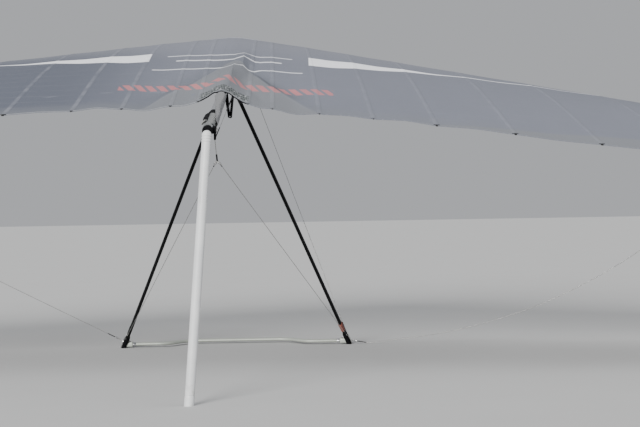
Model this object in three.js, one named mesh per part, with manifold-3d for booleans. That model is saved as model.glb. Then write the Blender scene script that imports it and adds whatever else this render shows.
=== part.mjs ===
// A topless hang glider, parked nose up on its control frame and on a pole under the keel's rear end.
// Millimetres, +X to the glider's right, +Y towards the nose, +Z up, floor at Z = 0.
import * as THREE from 'three';
import { mergeVertices } from 'three/addons/utils/BufferGeometryUtils.js';
import Module from 'manifold-3d';

const wasm = await Module();
wasm.setup();

const radians = degrees => degrees * Math.PI / 180;
const sides = [['right', 1], ['left', -1]];
const gap = 0.3;

// How the glider stands
const keelRearY = -1661;
const keelRearHeight = 1174;
const keelPitch = radians(11.51);
const wingLean = radians(2.24);

// Keel and control frame
const keelLength = 3500;
const keelRadius = 22;
const keelWall = 2;
const coverRadius = 27.5;
const apexAlong = 2030;
const apexDrop = 40;
const topSpread = 29;
const cornerX = 681;
const cornerY = keelRearY + 2540;
const cornerZ = 22;
const tubeChord = 62;
const tubeThickness = 22;
const stayRadius = 1.5;
const poleFootX = -90;
const poleFootY = keelRearY - 119;
const poleRadius = 21;

// Wing: sweep, taper and the heights of its edges above the keel's axis
const noseAlong = 3500;
const noseHeight = 12;
const leadingSlope = -0.466;
const leadingDroop = -0.08;
const trailingRoot = 1250;
const trailingSlope = -0.148;
const rootGap = 36;
const noseHalfWidth = 160;
const noseRadius = 34;
const tipwardThinning = 0.002;
const frontShare = 0.13;
const clothThickness = 8;
const rootCamber = 0.0738;
const spanCamber = 0.0765;
const fullCamberOut = 420;
const camberLoss = 0.000003;
const mergeShare = 0.85;

const lightCloth = { color: 0xb9bcc2, roughness: 0.55, metalness: 0 };
const greyCloth = { color: 0x9a9ea7, roughness: 0.55, metalness: 0 };
const silverTube = { color: 0xb4b8b8, roughness: 0.35, metalness: 0.9 };
const paleBar = { color: 0xc3cabf, roughness: 0.4, metalness: 0.7 };
const blackTube = { color: 0x17181a, roughness: 0.4, metalness: 0.3 };
const steel = { color: 0xa7a9ac, roughness: 0.3, metalness: 1 };
const cable = { color: 0xc8cacb, roughness: 0.35, metalness: 0.8 };
const webbing = { color: 0x141416, roughness: 0.9, metalness: 0 };
const whitePole = { color: 0xd9dbda, roughness: 0.4, metalness: 0.4 };
const rubber = { color: 0x1b1b1c, roughness: 0.85, metalness: 0 };
const greyPad = { color: 0x8d9094, roughness: 0.9, metalness: 0 };

const glider = new THREE.Group();
const keelGroup = new THREE.Group();
keelGroup.position.set(0, keelRearY, keelRearHeight);
keelGroup.rotation.x = keelPitch;
const wingGroup = new THREE.Group();
wingGroup.rotation.y = wingLean;
keelGroup.add(wingGroup);
glider.add(keelGroup);
glider.updateMatrixWorld(true);

function addPiece(group, name, geometry, finish) {
  const piece = new THREE.Mesh(geometry, new THREE.MeshStandardMaterial(finish));
  piece.name = name;
  group.add(piece);
  return piece;
}

// A point given out, along and above the keel, in the standing glider's own frame
const fromKeel = (x, along, up) => keelGroup.localToWorld(new THREE.Vector3(x, along, up));
const fromWing = (x, along, up) => wingGroup.localToWorld(new THREE.Vector3(x, along, up));

function signedVolume(points, faces) {
  let sum = 0;
  for (let k = 0; k < faces.length; k += 3) {
    const [a, b, c] = [points[faces[k]], points[faces[k + 1]], points[faces[k + 2]]];
    sum += a.dot(new THREE.Vector3().crossVectors(b, c));
  }
  return sum / 6;
}

// A closed solid through a row of like outlines. Each outline runs out along one side
// and back along the other, with the same even number of points.
function loft(outlines) {
  const points = outlines.flat();
  const count = outlines[0].length;
  const faces = [];
  for (let row = 0; row + 1 < outlines.length; row += 1) {
    for (let k = 0; k < count; k += 1) {
      const near = row * count + k;
      const beside = row * count + (k + 1) % count;
      faces.push(near, beside, beside + count, near, beside + count, near + count);
    }
  }
  const last = (outlines.length - 1) * count;
  for (let k = 0; k + 1 < count / 2; k += 1) {
    const quad = [k, k + 1, count - 2 - k, count - 1 - k];
    faces.push(quad[0], quad[2], quad[1], quad[0], quad[3], quad[2]);
    const end = quad.map(index => last + index);
    faces.push(end[0], end[1], end[2], end[0], end[2], end[3]);
  }
  if (signedVolume(points, faces) < 0) {
    for (let k = 0; k < faces.length; k += 3) [faces[k + 1], faces[k + 2]] = [faces[k + 2], faces[k + 1]];
  }
  const geometry = new THREE.BufferGeometry().setFromPoints(points);
  geometry.setIndex(faces);
  geometry.computeVertexNormals();
  return geometry;
}

function toSolid(geometry) {
  const plain = geometry.clone();
  plain.deleteAttribute('normal');
  plain.deleteAttribute('uv');
  const merged = mergeVertices(plain, 1e-3);
  const vertProperties = new Float32Array(merged.attributes.position.array);
  const triVerts = new Uint32Array(merged.index.array);
  return new wasm.Manifold(new wasm.Mesh({ numProp: 3, vertProperties, triVerts }));
}

function toGeometry(solid) {
  const mesh = solid.getMesh();
  const geometry = new THREE.BufferGeometry();
  geometry.setAttribute('position', new THREE.BufferAttribute(new Float32Array(mesh.vertProperties), 3));
  geometry.setIndex(new THREE.BufferAttribute(new Uint32Array(mesh.triVerts), 1));
  return geometry;
}

// The frame of a strut: Z from its start to its end, Y as near as can be to the given direction
function strutMatrix(start, end, forward) {
  const along = end.clone().sub(start).normalize();
  const side = new THREE.Vector3().crossVectors(forward, along).normalize();
  const front = new THREE.Vector3().crossVectors(along, side);
  return new THREE.Matrix4().makeBasis(side, front, along).setPosition(start);
}

// A round rod or tube on its own Z axis
function rod(radius, length, segments = 20, inner = 0) {
  const profile = inner
    ? [[inner, 0], [radius, 0], [radius, length], [inner, length], [inner, 0]]
    : [[0, 0], [radius, 0], [radius, length], [0, length]];
  const geometry = new THREE.LatheGeometry(profile.map(([r, y]) => new THREE.Vector2(r, y)), segments);
  return geometry.rotateX(Math.PI / 2);
}

function box(width, depth, height, x, y, z) {
  return new THREE.BoxGeometry(width, depth, height).translate(x, y, z);
}

// A stay: a thin round cable through the given points
function stay(points, steps, radius = stayRadius) {
  const section = new THREE.Shape().absarc(0, 0, radius, 0, 2 * Math.PI);
  const route = points.length > 2 ? new THREE.CatmullRomCurve3(points) : new THREE.LineCurve3(...points);
  return new THREE.ExtrudeGeometry(section, {
    extrudePath: route, steps, curveSegments: 4, bevelEnabled: false });
}

// Wing sections

const leadingAlong = out => noseAlong + leadingSlope * out;
const leadingHeight = out => noseHeight + leadingDroop * out;

// Main part of the wing. Columns: distance out from the keel, height of the trailing edge
const mainStations = [
  [rootGap, 20.5], [78, -7], [130, -31], [300, -56], [780, -82], [1500, -129],
  [2300, -191], [3200, -258], [4000, -318], [4500, -355],
];
// Wing tip. Columns: distance out, leading edge along, trailing edge along, height, camber, edge radius
const tipStations = [
  [4800, 1225, 540, -372, 0.06, 22], [5000, 1010, 520, -386, 0.05, 16], [5120, 700, 505, -394, 0.03, 9],
];

// The arch over the keel stands on a line through these heights, and fades towards the nose
const archOut = 300;
const archBase = -40;
const archSlope = (-56 - archBase) / archOut;
const archFrom = 0.45;
const archFade = share => (Math.max(share - archFrom, 0) / (1 - archFrom)) ** 1.3;

function mainStation(out) {
  let row = 0;
  while (row < mainStations.length - 2 && mainStations[row + 1][0] < out) row += 1;
  const [nearOut, nearHeight] = mainStations[row];
  const [farOut, farHeight] = mainStations[row + 1];
  const share = (out - nearOut) / (farOut - nearOut);
  const trailingUp = nearHeight + share * (farHeight - nearHeight);
  return {
    out,
    leading: leadingAlong(out),
    leadingUp: leadingHeight(out),
    trailing: trailingRoot + trailingSlope * out,
    trailingUp,
    arch: out < archOut ? trailingUp - archBase - archSlope * out : 0,
    camber: rootCamber + (spanCamber - rootCamber) * Math.min(out / fullCamberOut, 1)
      - camberLoss * Math.max(out - fullCamberOut, 0),
    radius: noseRadius - tipwardThinning * out,
  };
}

// Heights of the wing's skin at a share of the chord behind the leading edge
function topHeight(station, share) {
  const chord = station.leading - station.trailing;
  const arch = station.arch ?? 0;
  const base = station.leadingUp + share * (station.trailingUp - arch - station.leadingUp);
  const bulge = share ** 0.5 * (1 - share) ** 1.15 / 0.3635;
  return base + arch * archFade(share) + station.camber * chord * bulge;
}

function bottomHeight(station, share) {
  const chord = station.leading - station.trailing;
  const roundShare = station.radius / chord;
  const frontUp = station.leadingUp - station.radius;
  if (share >= mergeShare) return topHeight(station, share) - clothThickness;
  if (share < roundShare) {
    const rise = 1 - Math.sqrt(Math.max(0, 1 - (1 - share / roundShare) ** 2));
    return frontUp + station.radius * rise;
  }
  const mergeUp = topHeight(station, mergeShare) - clothThickness;
  return frontUp + (share - roundShare) / (mergeShare - roundShare) * (mergeUp - frontUp);
}

// The wing's outline at one station, from one share of the chord to another, with the side's sign
function wingOutline(station, shares, sign) {
  const chord = station.leading - station.trailing;
  const point = (share, up) => new THREE.Vector3(sign * station.out, station.leading - share * chord, up);
  const top = shares.map(share => point(share, topHeight(station, share) + (share === 0 ? 2 : 0)));
  const bottom = shares.map(share => point(share, bottomHeight(station, share) - (share === 0 ? 2 : 0)));
  return [...top, ...bottom.reverse()];
}

const frontShares = [0, 0.012, 0.035, 0.07, frontShare];
const backShares = [frontShare, 0.22, 0.33, 0.46, 0.6, 0.74, mergeShare, 0.93, 1];

// The main panel starts a touch behind the leading edge panel
const seamGap = gap / 1500;
const mainShares = [frontShare + seamGap, ...backShares.slice(1)];

for (const [sideName, sign] of sides) {
  const mainOutlines = mainStations.map(([out]) => wingOutline(mainStation(out), mainShares, sign));
  addPiece(wingGroup, `sail_panel_${sideName}`, loft(mainOutlines), greyCloth);

  const frontOuts = [noseHalfWidth + 2 * gap, ...mainStations.slice(3).map(([out]) => out)];
  const frontOutlines = frontOuts.map(out => wingOutline(mainStation(out), frontShares, sign));
  addPiece(wingGroup, `leading_edge_${sideName}`, loft(frontOutlines), lightCloth);

  const tipRoot = mainStation(mainStations.at(-1)[0]);
  tipRoot.out += 2 * gap;
  const tipRows = tipStations.map(([out, leading, trailing, up, tipCamber, radius]) => ({
    out, leading, leadingUp: up, trailing, trailingUp: up, camber: tipCamber, radius }));
  const tipShares = [...frontShares, ...backShares.slice(1)];
  const tipOutlines = [tipRoot, ...tipRows].map(station => wingOutline(station, tipShares, sign));
  addPiece(wingGroup, `wing_tip_${sideName}`, loft(tipOutlines), lightCloth);
}

// Keel pocket: the cloth over the keel between the two sail panels. Its floor is highest over the
// middle of the tube, and bends down beside it where the trailing edge is low.
const pocketBottom = keelRadius + gap;
const pocketCrest = 11;
const pocketWall = 5;
const floorCrest = 0.6;
const pocketOutlines = [-1, 0, 1].map(sign => {
  const station = mainStation(rootGap);
  const chord = station.leading - station.trailing;
  const at = (share, up) => new THREE.Vector3(sign * (rootGap - gap), station.leading - share * chord, up);
  const top = mainShares.map(share => at(share, topHeight(station, share) + (sign ? 0 : pocketCrest * share)));
  const bottom = mainShares.map(share => {
    const side = Math.min(pocketBottom, topHeight(station, share) - pocketWall);
    return at(share, sign ? side : pocketBottom + floorCrest);
  });
  return [...top, ...bottom.reverse()];
});
const hangAlong = 2200;
const hangRoom = toSolid(box(2 * rootGap, 90, 100, 0, hangAlong, 0));
addPiece(wingGroup, 'keel_pocket', toGeometry(toSolid(loft(pocketOutlines)).subtract(hangRoom)), greyCloth);

// Nose cone: a cover over the nose, down in front of the keel's end
const coneLip = 45;
const conePlaces = [-noseHalfWidth, -rootGap, rootGap, noseHalfWidth];
const coneOutlines = conePlaces.map(place => {
  const out = Math.abs(place);
  const station = mainStation(out);
  const chord = station.leading - station.trailing;
  const rear = station.leading - frontShare * chord + 2 * gap;
  const front = leadingAlong(out) + coneLip;
  const at = (along, up) => new THREE.Vector3(place, along, up);
  const shares = [0.12, 0.07, 0.035, 0.012];
  const top = [at(rear, topHeight(station, frontShare)),
    ...shares.slice(1).map(share => at(station.leading - share * chord + 12, topHeight(station, share) + 4)),
    at(front, 12), at(front, -30)];
  const bottom = [at(front - 30, -34), at(front - 32, pocketBottom - 4), at(front - 60, pocketBottom),
    at(front - 120, pocketBottom), at(rear + 30, pocketBottom), at(rear, pocketBottom)];
  return [...top, ...bottom];
});
const coneSolid = toSolid(loft(coneOutlines));
const keelRoom = toSolid(rod(keelRadius + gap, keelLength + 2 * gap, 32).rotateX(-Math.PI / 2));
addPiece(wingGroup, 'nose_cone', toGeometry(coneSolid.subtract(keelRoom)), lightCloth);

// Keel tube, and the capped plug in its rear end with a bore for the pole's pin
const pinRadius = 8;
const plugFlange = 6;
const plugDepth = 30;
const capRadius = 23.3;
const capLength = 27;
const keelTube = addPiece(keelGroup, 'keel_tube',
  rod(keelRadius, keelLength, 36, keelRadius - keelWall), silverTube);
keelTube.rotation.x = -Math.PI / 2;
const plugBore = pinRadius + gap;
const plugRadius = keelRadius - keelWall - gap;
const plugProfile = [[plugBore, -plugFlange], [capRadius, -plugFlange], [capRadius, capLength],
  [keelRadius + gap, capLength], [keelRadius + gap, -gap], [plugRadius, -gap], [plugRadius, plugDepth],
  [plugBore, plugDepth], [plugBore, -plugFlange]];
const plugPoints = plugProfile.map(([r, y]) => new THREE.Vector2(r, y));
addPiece(keelGroup, 'keel_rear_plug', new THREE.LatheGeometry(plugPoints, 36), rubber);

// Nose plate under the keel's front end, with the catch of the front stays below it
const plateTop = -keelRadius - gap;
const plateThickness = 3;
const plateShape = new THREE.Shape([
  new THREE.Vector2(-150, 3405), new THREE.Vector2(-55, 3260), new THREE.Vector2(55, 3260),
  new THREE.Vector2(150, 3405), new THREE.Vector2(30, 3462), new THREE.Vector2(-30, 3462)]);
const plate = new THREE.ExtrudeGeometry(plateShape, { depth: plateThickness, bevelEnabled: false });
addPiece(keelGroup, 'nose_plate', plate.translate(0, 0, plateTop - plateThickness), silverTube);

// Fittings that hold the stays, each given as a solid in the standing frame, grown by a margin
// so that a stay can be cut to end just short of it
const stayMargin = 0.4;

function fittingBlock(width, depth, height, place, matrix) {
  return grow => toSolid(box(width + 2 * grow, depth + 2 * grow, height + 2 * grow, ...place).applyMatrix4(matrix));
}

const catchAlong = 3425;
const catchBlock = { width: 90, depth: 44, height: 14 };
const catchMiddle = plateTop - plateThickness - gap - catchBlock.height / 2;
const frontStaySpread = 35;
const noseCatch = fittingBlock(catchBlock.width, catchBlock.depth, catchBlock.height,
  [0, catchAlong, catchMiddle], keelGroup.matrixWorld);
addPiece(glider, 'nose_catch', toGeometry(noseCatch(0)), steel);

// Rear tang: a block on the keel's right side, hollowed to the tube's round, with a tongue below it
const tang = { width: 21, depth: 60, height: 27, x: 25.5, along: 60, up: -2.5 };
const tongue = { width: 9, depth: 30, height: 34, x: 29, along: 54, up: -28 };
const tangBlock = fittingBlock(tang.width, tang.depth, tang.height, [tang.x, tang.along, tang.up],
  keelGroup.matrixWorld);
const tongueBlock = fittingBlock(tongue.width, tongue.depth, tongue.height,
  [tongue.x, tongue.along, tongue.up], keelGroup.matrixWorld);
const keelRound = toSolid(rod(keelRadius + gap, keelLength, 36).rotateX(-Math.PI / 2)
  .applyMatrix4(keelGroup.matrixWorld));
const rearTang = grow => tangBlock(grow).add(tongueBlock(grow)).subtract(keelRound);
addPiece(glider, 'rear_stay_tang', toGeometry(rearTang(0)), rubber);

// Control frame: apex bracket, two downtubes with their top ends, corner brackets and bent base bar

const keelForward = new THREE.Vector3(0, Math.cos(keelPitch), Math.sin(keelPitch));
const knuckle = { width: 20, depth: 30, length: 80 };
const sleeve = { width: 30, depth: 70, above: 50, below: 40 };
const baseStub = { length: 50, depth: 46, height: 30 };
const floorRoom = toSolid(box(4000, 4000, 200, 0, 0, -100));

const bracket = { width: 110, depth: 48, height: 46 };
const bracketBlock = fittingBlock(bracket.width, bracket.depth, bracket.height,
  [0, apexAlong, plateTop - bracket.height / 2], keelGroup.matrixWorld);
let apexBracket = bracketBlock(0);

const cornerBrackets = {};
for (const [sideName, sign] of sides) {
  const top = fromKeel(sign * topSpread, apexAlong, -apexDrop);
  const corner = new THREE.Vector3(sign * cornerX, cornerY, cornerZ);
  const length = top.distanceTo(corner);
  const frame = strutMatrix(top, corner, keelForward);
  const knuckleSolid = grow => toSolid(box(knuckle.width + 2 * grow, knuckle.depth + 2 * grow,
    knuckle.length + 2 * grow, 0, 0, knuckle.length / 2).applyMatrix4(frame));
  addPiece(glider, `downtube_top_${sideName}`, toGeometry(knuckleSolid(0)), steel);
  apexBracket = apexBracket.subtract(knuckleSolid(stayMargin));

  const sectionCount = 28;
  const section = height => Array.from({ length: sectionCount }, (_, k) => {
    const angle = 2 * Math.PI * (k + 0.5) / sectionCount;
    const front = Math.cos(angle);
    const taper = 0.78 + 0.22 * front;
    const place = new THREE.Vector3(Math.sin(angle) * taper * tubeThickness / 2, front * tubeChord / 2, height);
    return place.applyMatrix4(frame);
  });
  const tubeOutlines = [section(knuckle.length + gap), section(length - sleeve.above - gap)];
  addPiece(glider, `downtube_${sideName}`, loft(tubeOutlines), blackTube);

  cornerBrackets[sideName] = grow => {
    const sleeveLength = sleeve.above + sleeve.below + 2 * grow;
    const sleeveBox = box(sleeve.width + 2 * grow, sleeve.depth + 2 * grow, sleeveLength,
      0, 0, length + (sleeve.below - sleeve.above) / 2).applyMatrix4(frame);
    const stubBox = box(baseStub.length + 2 * grow, baseStub.depth + 2 * grow, baseStub.height + 2 * grow,
      sign * (cornerX - baseStub.length / 2), cornerY, cornerZ);
    return toSolid(sleeveBox).add(toSolid(stubBox)).subtract(floorRoom);
  };
  addPiece(glider, `corner_bracket_${sideName}`, toGeometry(cornerBrackets[sideName](0)), rubber);
}
addPiece(glider, 'apex_bracket', toGeometry(apexBracket), steel);

// Base bar: bent forward in its middle, with two round bends at each side
const barEnd = cornerX - baseStub.length - gap;
const barForward = 172;
const barThickness = 22;
const barDepth = 38;
const barSides = 20;
// Bends of one side. Columns: distance out and forward where the bend starts, at its corner, and where it ends
const barBends = [[475, 0, 428, 0, 399, 40], [348, 118, 313, barForward, 240, barForward]];
const barPath = new THREE.Path().moveTo(-barEnd, 0);
for (const [startX, startY, cornerOut, cornerForward, endX, endY] of barBends) {
  barPath.lineTo(-startX, startY).quadraticCurveTo(-cornerOut, cornerForward, -endX, endY);
}
for (const [startX, startY, cornerOut, cornerForward, endX, endY] of barBends.toReversed()) {
  barPath.lineTo(endX, endY).quadraticCurveTo(cornerOut, cornerForward, startX, startY);
}
barPath.lineTo(barEnd, 0);
const barPoints = barPath.getPoints(7).map(({ x, y }) => new THREE.Vector3(x, cornerY + y, cornerZ));
const barSections = barPoints.map((point, k) => {
  const before = barPoints[Math.max(k - 1, 0)];
  const after = barPoints[Math.min(k + 1, barPoints.length - 1)];
  const along = after.clone().sub(before).normalize();
  const across = new THREE.Vector3(-along.y, along.x, 0);
  return Array.from({ length: barSides }, (_, step) => {
    const angle = 2 * Math.PI * (step + 0.5) / barSides;
    return point.clone().addScaledVector(across, Math.cos(angle) * barDepth / 2)
      .add(new THREE.Vector3(0, 0, Math.sin(angle) * barThickness / 2));
  });
});
addPiece(glider, 'base_bar', loft(barSections), paleBar);

// Stays. The front and rear ones are straight, and the side ones hang in a slack curve.

const sideTangOut = 3130;
const sideTangShare = 0.08;
const sideTangBlock = { width: 16, depth: 40, height: 22, below: 1.5 };
const leftSag = 14;
// The right side stay lies slack. Columns: share of the way from the corner to the wing, height
const slackHeights = [[0, 40], [0.012, 20], [0.03, 9], [0.05, 7.5], [0.081, 14], [0.14, 34], [0.217, 62],
  [0.285, 97], [0.345, 137], [0.401, 180], [0.457, 228], [0.55, 333], [0.65, 470], [0.75, 640], [0.86, 856]];
const stropLength = 270;
const stropRadius = 2.5;
const stayFoot = { out: 4, up: 18 };
const stropTop = fromKeel(tongue.x - 3, tang.along, -22);
const cornersMiddle = new THREE.Vector3(0, cornerY, cornerZ + stayFoot.up);
const stropEnd = stropTop.clone().add(cornersMiddle.clone().sub(stropTop).setLength(stropLength));

function cutStay(name, points, steps, fittings, radius = stayRadius) {
  let solid = toSolid(stay(points, steps, radius));
  for (const fitting of fittings) solid = solid.subtract(fitting(stayMargin));
  return addPiece(glider, name, toGeometry(solid), cable);
}

const stropEye = new THREE.Matrix4().setPosition(stropEnd);
const stropRing = fittingBlock(16, 10, 12, [0, 0, 0], stropEye);
addPiece(glider, 'rear_stay_ring', toGeometry(stropRing(0)), steel);
cutStay('rear_strop', [stropTop, stropEnd], 1, [rearTang, stropRing], stropRadius);

for (const [sideName, sign] of sides) {
  const corner = new THREE.Vector3(sign * (cornerX + stayFoot.out), cornerY, cornerZ + stayFoot.up);
  const cornerBlock = cornerBrackets[sideName];
  const frontEnd = fromKeel(sign * frontStaySpread, catchAlong, catchMiddle);
  cutStay(`front_stay_${sideName}`, [corner, frontEnd], 1, [cornerBlock, noseCatch]);
  const rearEnd = stropEnd.clone().add(new THREE.Vector3(sign * 5, 0, 0));
  cutStay(`rear_stay_${sideName}`, [corner, rearEnd], 1, [cornerBlock, stropRing]);

  const station = mainStation(sideTangOut);
  const chord = station.leading - station.trailing;
  const wingUnder = bottomHeight(station, sideTangShare);
  const tangPlace = [sign * sideTangOut, station.leading - sideTangShare * chord,
    wingUnder - 2 * gap - sideTangBlock.height / 2 - sideTangBlock.below];
  const sideTang = fittingBlock(sideTangBlock.width, sideTangBlock.depth, sideTangBlock.height, tangPlace,
    wingGroup.matrixWorld);
  addPiece(glider, `side_stay_tang_${sideName}`, toGeometry(sideTang(0)), steel);
  const wingEnd = fromWing(...tangPlace);
  const taut = Array.from({ length: 13 }, (_, k) => {
    const share = k / 12;
    return corner.clone().lerp(wingEnd, share).add(new THREE.Vector3(0, 0, -4 * leftSag * share * (1 - share)));
  });
  const slack = slackHeights.map(([share, height]) => corner.clone().lerp(wingEnd, share).setZ(height));
  const hanging = sideName === 'right' ? [...slack, wingEnd] : taut;
  cutStay(`side_stay_${sideName}`, hanging, sideName === 'right' ? 64 : 26, [cornerBlock, sideTang]);
}

// Thin line from the apex bracket back to the rear tang's tongue, below the keel's right side
const lineRadius = 2;
const lineInset = 4;
const lineStart = fromKeel(bracket.width / 2 - lineInset, apexAlong, plateTop - 3 * lineInset);
const lineEnd = fromKeel(tongue.x + 1, tongue.along, tongue.up - tongue.height / 3);
cutStay('keel_line', [lineStart, lineEnd], 1, [rearTang, bracketBlock], lineRadius);

// Hang loop: a sleeve that turns on the keel, and a V of webbing that swings on the sleeve

const sleeveRadius = keelRadius + 3.5;
const sleeveLength = 64;
const hangRing = toSolid(rod(sleeveRadius, sleeveLength, 28, keelRadius + gap)
  .rotateX(-Math.PI / 2).translate(0, hangAlong - sleeveLength / 2, 0));
addPiece(keelGroup, 'hang_sleeve', toGeometry(hangRing), rubber);

const loopReach = 244;
const loopHalfWidth = 15;
const loopThickness = 7;
const loopEndThickness = 11;
const loopTopX = sleeveRadius + gap;
const loopShape = new THREE.Shape([
  new THREE.Vector2(loopTopX, 10), new THREE.Vector2(loopTopX + loopThickness, 10),
  new THREE.Vector2(loopTopX + loopThickness, -20), new THREE.Vector2(loopEndThickness, -loopReach),
  new THREE.Vector2(-loopEndThickness, -loopReach), new THREE.Vector2(-loopTopX - loopThickness, -20),
  new THREE.Vector2(-loopTopX - loopThickness, 10), new THREE.Vector2(-loopTopX, 10),
  new THREE.Vector2(-loopTopX, -20), new THREE.Vector2(0, -loopReach + 24),
  new THREE.Vector2(loopTopX, -20)]);
const loopGeometry = new THREE.ExtrudeGeometry(loopShape, { depth: 2 * loopHalfWidth, bevelEnabled: false })
  .rotateX(Math.PI / 2).translate(0, loopHalfWidth, 0);
const hangPoint = fromKeel(0, hangAlong, 0);
const hangLoop = addPiece(glider, 'hang_loop', loopGeometry, webbing);
hangLoop.position.copy(hangPoint);

// Cloth cover over the keel behind the wing. Its free edge crosses the keel from left to right
// towards the rear, and a grey pad, a black band and a strap lie on the tube left of that edge.

const ring = (outer, inner, start, length, segments = 36) =>
  rod(outer, length, segments, inner).rotateX(-Math.PI / 2).translate(0, start, 0);
// Its right half hangs slack: at the rear it is wider than a circle by a share of its half width.
const cover = { from: 222, to: 1228, slack: 0.3 };
const edgeLine = { along: 716, slope: 0.0526, size: 4000 };
// Room on one side of the cover's free edge: to the right for 1, to the left for -1
const besideEdge = side => toSolid(box(edgeLine.size, edgeLine.size, edgeLine.size,
  side * (edgeLine.size / 2 - gap / 2), 0, 0).rotateZ(Math.atan(edgeLine.slope)).translate(0, edgeLine.along, 0));
const coverRing = toSolid(ring(coverRadius, keelRadius + gap, cover.from, cover.to - cover.from)).warp(point => {
  if (point[0] > 0) point[0] *= 1 + cover.slack * (cover.to - point[1]) / (cover.to - cover.from);
});
addPiece(keelGroup, 'keel_cover', toGeometry(coverRing.subtract(besideEdge(-1))), greyCloth);

const cuff = { from: capLength + 3, to: 418, radius: 25.5 };
const band = { from: cuff.to + 2, length: 110, radius: 26.5 };
const cuffRing = toSolid(ring(cuff.radius, keelRadius + gap, cuff.from, cuff.to - cuff.from));
// The pad is slit along the right side, and cut out around the rear tang
const slit = toSolid(box(2 * keelRadius, cuff.to, 6, 2 * keelRadius, cuff.to / 2, 0));
const tangRoom = toSolid(box(tang.width + 2 * gap, tang.depth + 2 * gap, tang.height + 2 * gap,
  tang.x, tang.along, tang.up));
addPiece(keelGroup, 'keel_cuff', toGeometry(cuffRing.subtract(besideEdge(1)).subtract(slit).subtract(tangRoom)),
  greyPad);
const bandRing = toSolid(ring(band.radius, keelRadius + gap, band.from, band.length));
addPiece(keelGroup, 'keel_band', toGeometry(bandRing.subtract(besideEdge(1))), webbing);
const strap = { from: 150, width: 22, thickness: 3, turn: radians(-62) };
const strapLength = band.from - 2 - strap.from;
const strapBox = box(strap.width, strapLength, strap.thickness,
  0, strap.from + strapLength / 2, cuff.radius + gap + strap.thickness / 2).rotateY(strap.turn);
addPiece(keelGroup, 'keel_strap', strapBox, webbing);

// Pole behind the keel's rear end: a round head whose pin sits in the end plug, and a foot

const headClearance = 3;
const footHeight = 45;
const footExtra = 1;
const pinBack = plugFlange + headClearance + poleRadius;
const pinCentre = fromKeel(0, -pinBack, 0);
const poleFootPlace = new THREE.Vector3(poleFootX, poleFootY, 0);
const poleFrame = strutMatrix(poleFootPlace, pinCentre, keelForward);
const headHeight = poleFootPlace.distanceTo(pinCentre);
const headDrop = 12;
const headTurns = Array.from({ length: 7 }, (_, k) => radians(15 * k));
const poleProfile = [[0, footHeight + gap], [poleRadius, footHeight + gap],
  ...headTurns.map(turn => [poleRadius * Math.cos(turn), headHeight - headDrop + poleRadius * Math.sin(turn)])];
poleProfile.at(-1)[0] = 0;
const poleSolid = toSolid(new THREE.LatheGeometry(poleProfile.map(([r, y]) => new THREE.Vector2(r, y)), 36)
  .rotateX(Math.PI / 2).applyMatrix4(poleFrame));
const pin = toSolid(rod(pinRadius, pinBack + plugDepth - 4, 24).rotateX(-Math.PI / 2)
  .translate(0, -pinBack, 0).applyMatrix4(keelGroup.matrixWorld));
addPiece(glider, 'prop_pole', toGeometry(poleSolid.add(pin)), whitePole);
const footRod = toSolid(rod(poleRadius + footExtra, footHeight + 20, 28).translate(0, 0, -20)
  .applyMatrix4(poleFrame));
addPiece(glider, 'pole_foot', toGeometry(footRod.subtract(floorRoom)), whitePole);

export default glider;
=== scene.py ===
# A topless hang glider on its control frame, with a pole behind the keel's rear end.
# Metres, +X to the glider's right, +Y towards the nose, +Z up, floor at Z = 0.
import math

import bmesh
import bpy
from mathutils import Matrix, Vector, noise


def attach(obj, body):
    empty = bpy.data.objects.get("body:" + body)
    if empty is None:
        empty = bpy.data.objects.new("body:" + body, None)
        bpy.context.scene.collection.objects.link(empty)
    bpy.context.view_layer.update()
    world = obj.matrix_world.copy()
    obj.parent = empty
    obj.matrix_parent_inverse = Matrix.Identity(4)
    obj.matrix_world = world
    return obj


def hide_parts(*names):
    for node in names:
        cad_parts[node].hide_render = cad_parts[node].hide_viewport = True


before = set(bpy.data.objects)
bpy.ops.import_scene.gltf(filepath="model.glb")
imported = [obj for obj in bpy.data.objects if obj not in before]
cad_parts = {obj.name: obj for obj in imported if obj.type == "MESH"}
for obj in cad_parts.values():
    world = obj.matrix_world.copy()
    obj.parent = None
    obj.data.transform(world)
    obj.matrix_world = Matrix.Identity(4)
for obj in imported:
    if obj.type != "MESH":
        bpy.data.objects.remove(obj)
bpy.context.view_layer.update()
print("frame loaded:", len(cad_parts), "nodes")

# Camera, with its place and turn from a fit to the photograph
shot = {
    "place": (0.3824, -7.8433, 0.8261),
    "right": (0.999731, -0.016261, -0.016510),
    "up": (0.016553, 0.002493, 0.999860),
    "back": (-0.016218, -0.999865, 0.002761),
    "lens": 80.06,
}
cameraData = bpy.data.cameras.new("camera")
cameraData.lens = shot["lens"]
cameraData.sensor_width = 36.0
cameraData.clip_end = 200.0
camera = bpy.data.objects.new("camera", cameraData)
cameraTurn = Matrix((shot["right"], shot["up"], shot["back"])).transposed().to_4x4()
camera.matrix_world = Matrix.Translation(shot["place"]) @ cameraTurn
bpy.context.collection.objects.link(camera)
bpy.context.scene.camera = camera


def moved(x, y, z):
    return Matrix.Translation((x, y, z))


def spun(degrees, axis):
    return Matrix.Rotation(math.radians(degrees), 4, axis)


# How the glider stands
stance = {"keelRear": (0.0, -1.661, 1.174), "pitch": 11.51, "lean": 2.24}
keelFrame = moved(*stance["keelRear"]) @ spun(stance["pitch"], "X")
wingFrame = keelFrame @ spun(stance["lean"], "Y")
wingTurn = wingFrame.to_3x3()
tubeFrame = keelFrame @ spun(-90, "X")  # its Z runs forward along the keel
keelForward = (keelFrame.to_3x3() @ Vector((0, 1, 0))).normalized()
sides = {"right": 1, "left": -1}


def fromKeel(x, along, up):
    return keelFrame @ Vector((x, along, up))


def fromWing(x, along, up):
    return wingFrame @ Vector((x, along, up))


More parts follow.
